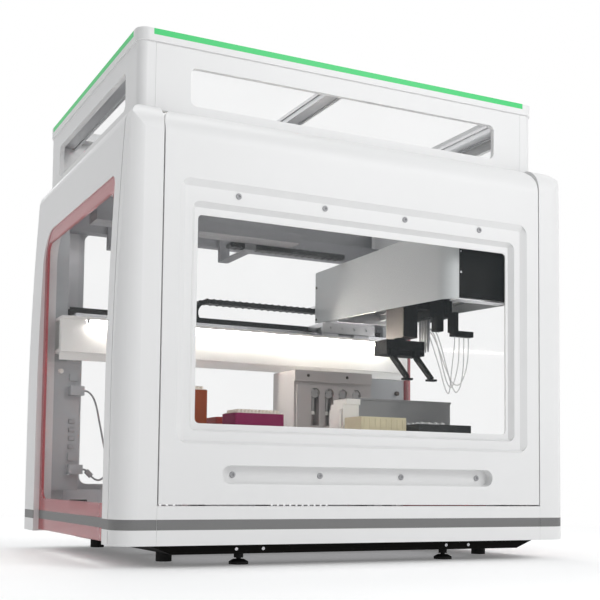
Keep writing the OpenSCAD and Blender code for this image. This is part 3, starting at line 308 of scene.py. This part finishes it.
def block(bm, low, high, bevel=0.0):
    """Box between two corners, with its edges broken."""
    low, high = Vector(low), Vector(high)
    made = bmesh.ops.create_cube(bm, size=1.0)["verts"]
    size = high - low
    bmesh.ops.scale(bm, vec=size, verts=made)
    bmesh.ops.translate(bm, vec=(low + high) / 2, verts=made)
    if bevel:
        edges = list({e for v in made for e in v.link_edges})
        bmesh.ops.bevel(
            bm,
            geom=edges,
            offset=bevel,
            offset_type="OFFSET",
            affect="EDGES",
            segments=2,
            profile=0.5,
            material=-1,
            clamp_overlap=True,
        )


def turned(bm, centre, axis, profile, steps=24):
    """Solid of revolution: profile is (distance along the axis, radius) pairs."""
    side = Vector((0, 0, 1)) if abs(axis[2]) < 0.9 else Vector((1, 0, 0))
    along = Vector(axis).normalized()
    across = along.cross(side).normalized()
    centre = Vector(centre)
    verts = [bm.verts.new(centre + along * d + across * r) for d, r in profile]
    edges = [bm.edges.new(pair) for pair in zip(verts, verts[1:])]
    bmesh.ops.spin(
        bm,
        geom=verts + edges,
        cent=centre,
        axis=along,
        angle=2 * pi,
        steps=steps,
        use_merge=True,
        use_normal_flip=False,
    )
    bmesh.ops.remove_doubles(bm, verts=bm.verts[:], dist=WELD)


def piece_of(bm, name, material):
    """Object with the bmesh's shape and one material."""
    mesh = bpy.data.meshes.new(name)
    bm.to_mesh(mesh)
    bm.free()
    mesh.materials.append(material)
    piece = bpy.data.objects.new(name, mesh)
    bpy.context.scene.collection.objects.link(piece)
    return piece


def place_mesh(bm, name, material, body="cabinet"):
    """Makes a fitting of the bmesh and lets it ride on a body."""
    bmesh.ops.remove_doubles(bm, verts=bm.verts[:], dist=WELD)
    bmesh.ops.recalc_face_normals(bm, faces=bm.faces[:])
    piece = piece_of(bm, name, finishes()[material])
    piece.data.shade_smooth()
    piece.data.set_sharp_from_angle(angle=SHARP)
    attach(piece, body)


def screw(bm, place, axis, radius, height=0.0022):
    """Head of a socket screw that stands on a face."""
    profile = [
        (0.0, radius),
        (height * 0.6, radius),
        (height, radius * 0.8),
        (height, radius * 0.46),
        (height * 0.2, radius * 0.42),
        (height * 0.2, 0.0001),
    ]
    turned(bm, place, axis, profile, 20)


def smooth_path(points, steps):
    """Points along a smooth curve through the given points."""
    found = []
    for i in range(len(points) - 1):
        a, b = points[max(i - 1, 0)], points[i]
        c, d = points[i + 1], points[min(i + 2, len(points) - 1)]
        linear, square, cube = c - a, 2 * a - 5 * b + 4 * c - d, 3 * b - a - 3 * c + d
        for k in range(steps):
            t = k / steps
            found.append(0.5 * (2 * b + linear * t + square * t * t + cube * t**3))
    return found + [points[-1]]


def tube_mesh(path, radius, name, material, sides=16):
    """Mesh tube along a path, closed at its ends."""
    bm = bmesh.new()
    rings = []
    ref = Vector((0, 1, 0))
    for i, point in enumerate(path):
        ahead = (path[min(i + 1, len(path) - 1)] - path[max(i - 1, 0)]).normalized()
        u = ahead.cross(ref)
        u = u.normalized() if u.length > 0.05 else ahead.orthogonal().normalized()
        ref = u.cross(ahead).normalized()
        v = ahead.cross(u)
        angles = (2 * pi * k / sides for k in range(sides))
        rings.append([bm.verts.new(point + (u * cos(a) + v * sin(a)) * radius) for a in angles])
        if i:
            edges = []
            for ring in rings[-2:]:
                for pair in zip(ring, ring[1:] + ring[:1]):
                    edges.append(bm.edges.get(pair) or bm.edges.new(pair))
            bmesh.ops.bridge_loops(bm, edges=edges)
    for ring in (rings[0], rings[-1]):
        bmesh.ops.contextual_create(bm, geom=ring)
    bmesh.ops.recalc_face_normals(bm, faces=bm.faces[:])
    piece = piece_of(bm, name, finishes()[material])
    piece.data.shade_smooth()
    return piece


def path_length(path):
    return sum((b - a).length for a, b in zip(path, path[1:]))


# ---------- settings ----------


def paint(name, description, default):
    """Property that holds a linear colour."""
    return bpy.props.FloatVectorProperty(
        name=name, description=description, subtype="COLOR", size=3, min=0, max=1, default=default
    )


def length(name, description, default, low, high):
    """Property that holds a length in metres."""
    return bpy.props.FloatProperty(
        name=name,
        description=description,
        default=default,
        min=low,
        max=high,
        unit="LENGTH",
        subtype="DISTANCE",
    )


class RobotColours(bpy.types.PropertyGroup):
    shell: paint("Shell", "Paint of the cabinet's shell and door", colour(0.9, 0.9, 0.9)[:3])
    band: paint("Band", "Paint of the band round the base", colour(0.45, 0.45, 0.45)[:3])
    trim: paint("Side trim", "Tint of the sheet round the side panes", colour(0.74, 0.38, 0.4)[:3])
    status: paint("Status light", "Colour of the light bar under the lid", (0.01, 0.5, 0.12))


class RobotSizes(bpy.types.PropertyGroup):
    lens: bpy.props.FloatProperty(
        name="Lens",
        description="Focal length of the camera",
        default=64.31,
        min=20,
        max=200,
        subtype="DISTANCE_CAMERA",
    )
    patch_diameter: length("Patch cable", "Diameter of the patch cable", 0.005, 0.003, 0.01)
    tube_diameter: length("Probe tube", "Diameter of a probe's tube", 0.003, 0.002, 0.006)
    screw_radius: length("Door screws", "Radius of the door's screw heads", 0.0065, 0.003, 0.01)


def colours():
    return bpy.context.scene.robot_colours


def sizes():
    return bpy.context.scene.robot_sizes


MADE = {}


def finishes():
    """Every material of the robot, made once."""
    if MADE:
        return MADE
    c = colours()
    MADE.update(
        shell=powder_coat("shell paint", opaque(c.shell), 0.4),
        # The canopy's paint has painted shade, dark grey, on the inside of its rear wall
        canopy_paint=paint_with_painted_shade(opaque(c.shell)),
        beam_white=powder_coat("beam paint", colour(0.95, 0.95, 0.94), 0.45),
        grey_paint=powder_coat("grey paint", colour(0.84, 0.84, 0.85), 0.45),
        rail_paint=powder_coat("rail paint", colour(0.5, 0.5, 0.51), 0.5, specular=0.3),
        frame_paint=powder_coat("frame paint", colour(0.7, 0.71, 0.72), 0.45),
        arm_paint=powder_coat("arm paint", colour(0.76, 0.77, 0.77), 0.38),
        pump_paint=powder_coat("pump paint", colour(0.73, 0.71, 0.7), 0.42),
        band=metal("band", opaque(c.band), 0.5, (1, 1, 30), 0.25),
        black_paint=powder_coat("black paint", colour(0.07, 0.065, 0.06), 0.55, specular=0.05),
        black_plastic=moulded("black plastic", colour(0.15, 0.15, 0.15), 0.5),
        dark_plastic=moulded("dark grey plastic", colour(0.6, 0.6, 0.6), 0.45),
        mid_plastic=moulded("mid grey plastic", colour(0.66, 0.66, 0.67), 0.5),
        pale_plastic=moulded("pale plastic", colour(0.93, 0.92, 0.9), 0.42),
        tip_plastic=moulded("tip plastic", colour(0.9, 0.87, 0.83), 0.4),
        beige=moulded("beige plastic", colour(0.84, 0.8, 0.67), 0.45),
        orange=moulded("orange plastic", colour(0.56, 0.25, 0.1), 0.4, specular=0.08),
        low_boxes=two_box_plastic(),
        alloy=metal("bare alloy", (0.68, 0.68, 0.69, 1), 0.36, (40, 1, 1)),
        rail_steel=metal("rail steel", (0.62, 0.62, 0.64, 1), 0.25, (1, 30, 30)),
        valve_steel=metal("valve steel", (0.36, 0.35, 0.34, 1), 0.4, (30, 30, 1), 0.8),
        probe_steel=metal("probe steel", (0.3, 0.3, 0.31, 1), 0.3, (30, 30, 1)),
        bronze=metal("bronze anodised", (0.085, 0.068, 0.058, 1), 0.42, (1, 1, 30), 0.5),
        pane=see_through("clear pane", (0.3, 0.34, 0.36, 1), 0.035),
        trim=see_through("tinted trim", opaque(c.trim), 0.74, 0.12),
        tubing=see_through("clear tubing", (0.9, 0.9, 0.9, 1), 0.55, 0.1),
        status=lit("status light", opaque(c.status), 0.16),
        lamp=lit("strip lamp", (1.0, 0.94, 0.87, 1), 75.0),
        rubber=moulded("rubber", colour(0.12, 0.12, 0.12), 0.75, 700.0, 0.3),
        cable=moulded("cable jacket", colour(0.62, 0.62, 0.63), 0.55),
    )
    return MADE


CAD_FINISH = {
    "base_chassis": "black_paint",
    "levelling_feet": "rubber",
    "floor_pan": "grey_paint",
    "front_fascia": "shell",
    "grey_band": "band",
    "side_panel_left": "shell",
    "side_panel_right": "shell",
    "side_trims": "trim",
    "side_panes": "pane",
    "rear_panel": "grey_paint",
    "rear_pane": "pane",
    "cabinet_frame": "frame_paint",
    "header_rails": "rail_paint",
    "canopy_frame": "canopy_paint",
    "canopy_panes": "pane",
    "canopy_lid": "shell",
    "status_light": "status",
    "roof_rails": "alloy",
    "gantry_beam": "beam_white",
    "beam_rails": "rail_steel",
    "light_strip": "lamp",
    "chain_trough": "black_plastic",
    "deck_plate": "alloy",
    "pump_housing": "pump_paint",
    "pump_valves": "valve_steel",
    "pump_plungers": "pale_plastic",
    "control_box": "frame_paint",
    "wiring_panel": "frame_paint",
    "cable_ferrite": "mid_plastic",
    "tip_box_orange": "orange",
    "tip_boxes_low": "low_boxes",
    "pipette_tips": "tip_plastic",
    "wash_station": "dark_plastic",
    "reservoir_white": "pale_plastic",
    "reservoir_beige": "beige",
    "tube_rack": "black_plastic",
    "door_shell": "shell",
    "door_window": "pane",
    "hinge_pins": "rail_steel",
    "cable_chain": "black_plastic",
    "upper_chain": "black_plastic",
    "arm_cover": "arm_paint",
    "arm_end_plate": "black_paint",
    "arm_spine": "alloy",
    "arm_carriage": "alloy",
    "pod_body": "black_paint",
    "tubing_manifold": "black_paint",
    "gripper_mast": "bronze",
    "gripper_head": "black_paint",
    "finger_left": "black_paint",
    "finger_right": "black_paint",
    "probe_1": "probe_steel",
    "probe_2": "probe_steel",
    "probe_3": "probe_steel",
    "probe_4": "probe_steel",
}


class ROBOT_OT_finish_solids(bpy.types.Operator):
    """Gives every solid of the machine its finish"""

    bl_idname = "robot.finish_solids"
    bl_label = "Finish Solids"

    def execute(self, context):
        for node, name in CAD_FINISH.items():
            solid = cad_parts[node]
            material = finishes()[name]
            if not solid.material_slots:
                solid.data.materials.append(material)
            for slot in solid.material_slots:
                slot.material = material
        return {"FINISHED"}


# ---------- cords ----------

# Route of the patch cable in steps from its socket, and of each probe's tube from the probe's foot
SOCKET = Vector((-0.440, 0.285, 0.405))
PATCH_STEPS = [
    (0, 0, 0), (8, 0, 0), (18, 0, -6), (28, 0, -20), (36, 0, -43), (43, 0, -75),
    (50, 0, -107), (57, 0, -140), (63, 0, -169), (66, 0, -195), (62, 0, -217), (49, 0, -229),
    (36, 0, -228), (25.2, 0, -220.2), (10.8, 0, -205.8), (8, 0, -203.5), (4, 0, -203),
    (0, 0, -203),
]

PROBE_FOOT = Vector((0.353, -0.117, 0.515))
HOSE_STEPS = [
    [(11, -6, 60), (17, -6, 60), (26, -10, 46), (33, -22, 5), (37, -36, -40), (42, -50, -84),
     (48, -62, -106), (54, -73, -90), (57, -81, -48), (55, -86, -8), (54, -88, 18),
     (54, -88, 33)],
    [(11, 6, 60), (17, 6, 60), (26, 2, 44), (31, -12, 0), (32, -28, -44), (33, -44, -80),
     (35, -60, -94), (38, -72, -74), (41, -82, -36), (40, -87, 0), (40, -88, 20),
     (40, -88, 33)],
    [(11, 18, 60), (17, 18, 60), (29, 14, 46), (40, 0, 5), (47, -18, -42), (55, -38, -80),
     (64, -56, -84), (71, -70, -56), (72, -80, -20), (69, -87, 8), (68, -88, 22),
     (68, -88, 33)],
    [(11, 30, 60), (17, 30, 60), (27, 26, 42), (36, 14, -2), (40, -4, -48), (40, -22, -88),
     (37, -42, -108), (31, -60, -98), (26, -74, -58), (25, -84, -14), (26, -88, 14),
     (26, -88, 33)],
]


def steps_from(base, steps):
    """Points in metres from steps in millimetres."""
    return [base + Vector(p) / 1000 for p in steps]


class ROBOT_OT_lay_cords(bpy.types.Operator):
    """Lays the patch cable and the probes' tubes"""

    bl_idname = "robot.lay_cords"
    bl_label = "Lay Cords"

    def execute(self, context):
        diameter = sizes().patch_diameter
        path = smooth_path(steps_from(SOCKET, PATCH_STEPS), 6)
        cable = tube_mesh(path, diameter / 2, "patch_cord", "cable")
        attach(cable, "cabinet")
        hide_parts("patch_cable")
        path_length(path)
        for k, steps in enumerate(HOSE_STEPS):
            path = smooth_path(steps_from(PROBE_FOOT, steps), 8)
            name = "probe_hose_%d" % (k + 1)
            hose = tube_mesh(path, sizes().tube_diameter / 2, name, "tubing", 10)
            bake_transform(hose)
            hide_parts("probe_tube_%d" % (k + 1))
            path_length(path)
        return {"FINISHED"}


# ---------- fittings ----------

# Places are in metres: x and z of the scene, or distances in from the edges of a solid
DOOR_SCREWS = (-0.306, -0.102, 0.102, 0.306)
DOOR_ROWS = ((0.0102, 0.770), (0.022, 0.189))
DOOR_HEAD_HEIGHT = 0.003

CHASSIS_SCREWS = (-0.290, -0.229, 0.230, 0.291)
CHASSIS_HEAD = 0.0038

PUMP_TOP_SCREWS = (0.040, 0.160)
PUMP_TOP_DEPTH, PUMP_TOP_DROP, PUMP_TOP_HEAD = 0.002, 0.014, 0.0042
PUMP_FOOT_INSET, PUMP_FOOT_DEPTH, PUMP_FOOT_RISE, PUMP_FOOT_HEAD = 0.012, 0.008, 0.016, 0.0035

KNOB = ((0.0, 0.0065), (0.007, 0.006), (0.008, 0.005), (0.008, 0.0001))
BOX_KNOB_INSET, BOX_KNOB_DROP = 0.086, 0.038
PANEL_KNOB_INSET, PANEL_KNOB_Z = 0.018, 0.455

# The wiring panel's front lies this far before its back
PANEL_THICK = 0.014
CONNECTOR_X = (-0.4735, -0.4585)
CONNECTORS = (0.260, 0.282, 0.304, 0.326)
CONNECTOR_HALF = 0.0055
CONNECTOR_DEPTH = (-0.004, 0.002)

# The rear panel's outside lies this far behind its pane
REAR_STEP = 0.004
REAR_SCREW_X = 0.480
REAR_SCREW_HEIGHTS = (0.07, 0.25, 0.45, 0.65, 0.84)
REAR_HEAD = 0.004

INLET_X = (-0.4435, -0.3965)
INLET_Z = (0.0965, 0.1235)
INLET_DEPTH = (-0.006, 0.002)
INLET_PINS = ((-0.428, 0.107), (-0.412, 0.107), (-0.420, 0.114))
PIN_HALF = (0.001, 0.002)
PIN_DEPTH = (-0.001, 0.006)

CAP_LENGTH, CAP_OVERHANG, CAP_LIP = 0.006, 0.0005, 0.0006

END_PLATE_SCREWS = ((0.005, 0.110), (0.005, 0.060), (0.140, 0.012))
END_PLATE_HEAD, END_PLATE_HEAD_HEIGHT = 0.0026, 0.0015
COVER_SCREWS = (0.035, 0.128)
COVER_SCREW_INSET, COVER_HEAD = 0.008, 0.0036
MAST_PLATE_SIDE, MAST_PLATE_THICK = 0.0015, 0.0025
MAST_PLATE_FOOT, MAST_PLATE_TOP = 0.002, 0.003

TUBE = ((-0.018, 0.0052), (0.0015, 0.0052), (0.0045, 0.0042), (0.0055, 0.0022), (0.0055, 0.0001))
TUBE_ROWS, TUBE_STEP = 4, 0.020
TUBE_INSET = (0.015, 0.012)

RIBS, RIB_STEP, RIB_INSET, RIB_HALF = 8, 0.015, 0.010, 0.0008
RIB_DEPTH = (0.001, 0.0025)
RIB_FOOT, RIB_TOP = 0.014, 0.004


class ROBOT_OT_fit_door(bpy.types.Operator):
    """Puts the screws into the door"""

    bl_idname = "robot.fit_door"
    bl_label = "Fit Door Screws"

    def execute(self, context):
        bm = bmesh.new()
        for x in DOOR_SCREWS:
            for depth, z in DOOR_ROWS:
                place = (x, FRONT + depth, z)
                screw(bm, place, FORWARD, sizes().screw_radius, DOOR_HEAD_HEIGHT)
        place_mesh(bm, "door_screws", "mid_plastic", "door")
        return {"FINISHED"}


class ROBOT_OT_fit_cabinet(bpy.types.Operator):
    """Puts screws, knobs and connectors on the cabinet and its modules"""

    bl_idname = "robot.fit_cabinet"
    bl_label = "Fit Cabinet Hardware"

    def execute(self, context):
        self.fit_front()
        self.fit_wiring_panel()
        self.fit_rear()
        self.fit_lamp()
        return {"FINISHED"}

    def fit_front(self):
        low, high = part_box("base_chassis")
        bm = bmesh.new()
        for x in CHASSIS_SCREWS:
            screw(bm, (x, low[1], (low[2] + high[2]) / 2), FORWARD, CHASSIS_HEAD)
        place_mesh(bm, "chassis_screws", "rail_steel")

        low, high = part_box("pump_housing")
        bm = bmesh.new()
        for inset in PUMP_TOP_SCREWS:
            place = (low[0] + inset, low[1] + PUMP_TOP_DEPTH, high[2] - PUMP_TOP_DROP)
            screw(bm, place, FORWARD, PUMP_TOP_HEAD)
        for x in (low[0] + PUMP_FOOT_INSET, high[0] - PUMP_FOOT_INSET):
            place = (x, low[1] + PUMP_FOOT_DEPTH, low[2] + PUMP_FOOT_RISE)
            screw(bm, place, FORWARD, PUMP_FOOT_HEAD)
        place_mesh(bm, "pump_screws", "bronze")

        low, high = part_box("control_box")
        bm = bmesh.new()
        turned(bm, (low[0] + BOX_KNOB_INSET, low[1], high[2] - BOX_KNOB_DROP), FORWARD, KNOB)
        place_mesh(bm, "box_knob", "bronze")

    def fit_wiring_panel(self):
        low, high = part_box("wiring_panel")
        face = high[1] - PANEL_THICK
        bm = bmesh.new()
        turned(bm, (low[0] + PANEL_KNOB_INSET, face, PANEL_KNOB_Z), FORWARD, KNOB)
        place_mesh(bm, "panel_knob", "pale_plastic")
        bm = bmesh.new()
        for z in CONNECTORS:
            block(
                bm,
                (CONNECTOR_X[0], face + CONNECTOR_DEPTH[0], z - CONNECTOR_HALF),
                (CONNECTOR_X[1], face + CONNECTOR_DEPTH[1], z + CONNECTOR_HALF),
                0.0008,
            )
        place_mesh(bm, "panel_connectors", "mid_plastic")

    def fit_rear(self):
        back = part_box("rear_pane")[1][1] + REAR_STEP
        bm = bmesh.new()
        for x in (-REAR_SCREW_X, REAR_SCREW_X):
            for z in REAR_SCREW_HEIGHTS:
                screw(bm, (x, back, z), BACKWARD, REAR_HEAD)
        place_mesh(bm, "rear_screws", "rail_steel")
        bm = bmesh.new()
        block(
            bm,
            (INLET_X[0], back + INLET_DEPTH[0], INLET_Z[0]),
            (INLET_X[1], back + INLET_DEPTH[1], INLET_Z[1]),
            0.0012,
        )
        wide, tall = PIN_HALF
        for x, z in INLET_PINS:
            low = (x - wide, back + PIN_DEPTH[0], z - tall)
            high = (x + wide, back + PIN_DEPTH[1], z + tall)
            block(bm, low, high)
        place_mesh(bm, "power_inlet", "black_plastic")

    def fit_lamp(self):
        low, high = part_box("light_strip")
        bm = bmesh.new()
        for x0, x1 in (
            (low[0] - CAP_OVERHANG, low[0] + CAP_LENGTH),
            (high[0] - CAP_LENGTH, high[0] + CAP_OVERHANG),
        ):
            block(
                bm,
                (x0, low[1] - CAP_LIP, low[2] - CAP_LIP),
                (x1, high[1], high[2] + CAP_LIP),
                0.0004,
            )
        place_mesh(bm, "strip_caps", "mid_plastic")


class ROBOT_OT_fit_arm(bpy.types.Operator):
    """Puts screws on the arm and the dark front plate on the gripper's mast"""

    bl_idname = "robot.fit_arm"
    bl_label = "Fit Arm Hardware"

    def execute(self, context):
        low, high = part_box("arm_end_plate")
        bm = bmesh.new()
        for x, z in END_PLATE_SCREWS:
            place = (low[0] + x, low[1], low[2] + z)
            screw(bm, place, FORWARD, END_PLATE_HEAD, END_PLATE_HEAD_HEIGHT)
        place_mesh(bm, "arm_screws", "rail_steel", "arm")

        low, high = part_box("arm_cover")
        bm = bmesh.new()
        for z in COVER_SCREWS:
            screw(bm, (low[0], high[1] - COVER_SCREW_INSET, low[2] + z), LEFT, COVER_HEAD)
        place_mesh(bm, "cover_screws", "bronze", "arm")

        low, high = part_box("gripper_mast")
        bm = bmesh.new()
        block(
            bm,
            (low[0] + MAST_PLATE_SIDE, low[1] - MAST_PLATE_THICK, low[2] + MAST_PLATE_FOOT),
            (high[0] - MAST_PLATE_SIDE, low[1], high[2] - MAST_PLATE_TOP),
            0.0006,
        )
        place_mesh(bm, "mast_plate", "black_paint", "mast")
        return {"FINISHED"}


class ROBOT_OT_fit_labware(bpy.types.Operator):
    """Puts tubes into the rack and ribs on the reservoir"""

    bl_idname = "robot.fit_labware"
    bl_label = "Fit Labware"

    def execute(self, context):
        low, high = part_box("tube_rack")
        bm = bmesh.new()
        for column in range(TUBE_ROWS):
            for row in range(TUBE_ROWS):
                x = low[0] + TUBE_INSET[0] + column * TUBE_STEP
                y = low[1] + TUBE_INSET[1] + row * TUBE_STEP
                turned(bm, (x, y, high[2]), UP, TUBE, 16)
        place_mesh(bm, "rack_tubes", "tubing")

        low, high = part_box("reservoir_beige")
        bm = bmesh.new()
        for i in range(RIBS):
            x = low[0] + RIB_INSET + i * RIB_STEP
            block(
                bm,
                (x - RIB_HALF, low[1] + RIB_DEPTH[0], low[2] + RIB_FOOT),
                (x + RIB_HALF, low[1] + RIB_DEPTH[1], high[2] - RIB_TOP),
                0.0004,
            )
        place_mesh(bm, "reservoir_ribs", "beige")
        return {"FINISHED"}


# ---------- stage ----------

FLOOR_HALF = 30
FLOOR_GLOW = 0.16
# The floor starts to turn white to the camera this far out, by this share for each metre
FADE_START, FADE_RATE = 1.0, 0.62
SKY = (0.97, 0.985, 1.0, 1)
SKY_STRENGTH = 0.38
# Name, place, power in watts and diameter of each lamp
LAMPS = (
    ("key", (1.6, -3.6, 2.6), 76, 2.6),
    ("side", (-3.4, -0.6, 1.6), 4, 2.4),
    ("top", (0.0, 0.3, 3.6), 40, 2.4),
    ("back", (0.6, 3.4, 2.0), 40, 2.6),
)
LAMP_AIM = Vector((0, 0, 0.5))
CAMERA_SHIFT = 0.1833
CAMERA_PLACE = (-1.16726, -2.44752, 0.17406)
CAMERA_TURN = (radians(26.3673), radians(3.885), radians(0.6451))


class ROBOT_OT_build_stage(bpy.types.Operator):
    """Makes the floor, the lights and the camera"""

    bl_idname = "robot.build_stage"
    bl_label = "Build Stage"

    def execute(self, context):
        self.build_floor()
        context.scene.world = self.studio()
        for lamp in LAMPS:
            self.hang(*lamp)
        context.scene.camera = self.camera()
        context.scene.view_settings.view_transform = "Standard"
        return {"FINISHED"}

    def build_floor(self):
        """Floor that fades to the background's white."""
        t = Tree("floor")
        pale = t.make(
            "ShaderNodeBsdfPrincipled",
            {
                "Base Color": (0.93, 0.93, 0.93, 1),
                "Roughness": 0.9,
                "Emission Color": WHITE,
                "Emission Strength": FLOOR_GLOW,
            },
        )
        white = t.make("ShaderNodeEmission", {"Color": WHITE})
        far = t.make("ShaderNodeVectorMath", {0: t.coords()}, {"operation": "LENGTH"}, "Value")
        fade = (far * FADE_RATE - FADE_START * FADE_RATE).clamped()
        seen = t.make("ShaderNodeLightPath", output="Is Camera Ray")
        whole = t.make("ShaderNodeMixShader", {0: fade * seen, 1: pale, 2: white})
        t.make("ShaderNodeOutputMaterial", {"Surface": whole}, output=None)
        bm = bmesh.new()
        bmesh.ops.create_grid(bm, x_segments=1, y_segments=1, size=FLOOR_HALF)
        floor = piece_of(bm, "floor", t.owner)

    def studio(self):
        """World that is white to the camera and in mirrors, and a soft grey as a light."""
        t = Tree("studio", "worlds")
        seen = t.make("ShaderNodeLightPath", output="Is Camera Ray")
        sharp = seen.part("Is Glossy Ray").greater(seen.part("Is Transmission Ray"))
        soft = t.make("ShaderNodeBackground", {"Color": SKY, "Strength": SKY_STRENGTH})
        white = t.make("ShaderNodeBackground", {"Color": WHITE, "Strength": 1.0})
        whole = t.make("ShaderNodeMixShader", {0: seen.greater(sharp), 1: soft, 2: white})
        t.make("ShaderNodeOutputWorld", {"Surface": whole}, output=None)
        return t.owner

    def hang(self, name, place, power, diameter):
        """Round lamp that looks at the machine."""
        data = bpy.data.lights.new(name, "AREA")
        data.energy = power
        data.shape = "DISK"
        data.size = diameter
        lamp = bpy.data.objects.new(name, data)
        lamp.location = place
        aim = LAMP_AIM - Vector(place)
        lamp.rotation_euler = aim.to_track_quat("-Z", "Y").to_euler()
        bpy.context.scene.collection.objects.link(lamp)

    def camera(self):
        data = bpy.data.cameras.new("camera")
        data.sensor_width = 36
        data.lens = sizes().lens
        data.shift_y = CAMERA_SHIFT
        data.clip_end = 100
        camera = bpy.data.objects.new("camera", data)
        yaw, pitch, roll = CAMERA_TURN
        camera.matrix_world = (
            Matrix.Translation(CAMERA_PLACE)
            @ Matrix.Rotation(-yaw, 4, "Z")
            @ Matrix.Rotation(pi / 2 + pitch, 4, "X")
            @ Matrix.Rotation(roll, 4, "Z")
        )
        bpy.context.scene.collection.objects.link(camera)
        return camera


class ROBOT_PT_panel(bpy.types.Panel):
    """Steps that build the robot's looks"""

    bl_idname = "ROBOT_PT_panel"
    bl_label = "Liquid Handling Robot"
    bl_space_type = "VIEW_3D"
    bl_region_type = "UI"
    bl_category = "Robot"

    def draw(self, context):
        for group in (context.scene.robot_colours, context.scene.robot_sizes):
            for name in group.__annotations__:
                self.layout.prop(group, name)
        for step in STEPS:
            self.layout.operator(step.bl_idname)


STEPS = (
    ROBOT_OT_finish_solids,
    ROBOT_OT_lay_cords,
    ROBOT_OT_fit_door,
    ROBOT_OT_fit_cabinet,
    ROBOT_OT_fit_arm,
    ROBOT_OT_fit_labware,
    ROBOT_OT_build_stage,
)
CLASSES = (RobotColours, RobotSizes) + STEPS + (ROBOT_PT_panel,)


def register():
    for cls in CLASSES:
        bpy.utils.register_class(cls)
    bpy.types.Scene.robot_colours = bpy.props.PointerProperty(type=RobotColours)
    bpy.types.Scene.robot_sizes = bpy.props.PointerProperty(type=RobotSizes)


def unregister():
    del bpy.types.Scene.robot_sizes
    del bpy.types.Scene.robot_colours
    for cls in reversed(CLASSES):
        bpy.utils.unregister_class(cls)


def main():
    register()
    for step in STEPS:
        group, name = step.bl_idname.split(".")
        getattr(getattr(bpy.ops, group), name)()


if __name__ == "__main__":
    main()
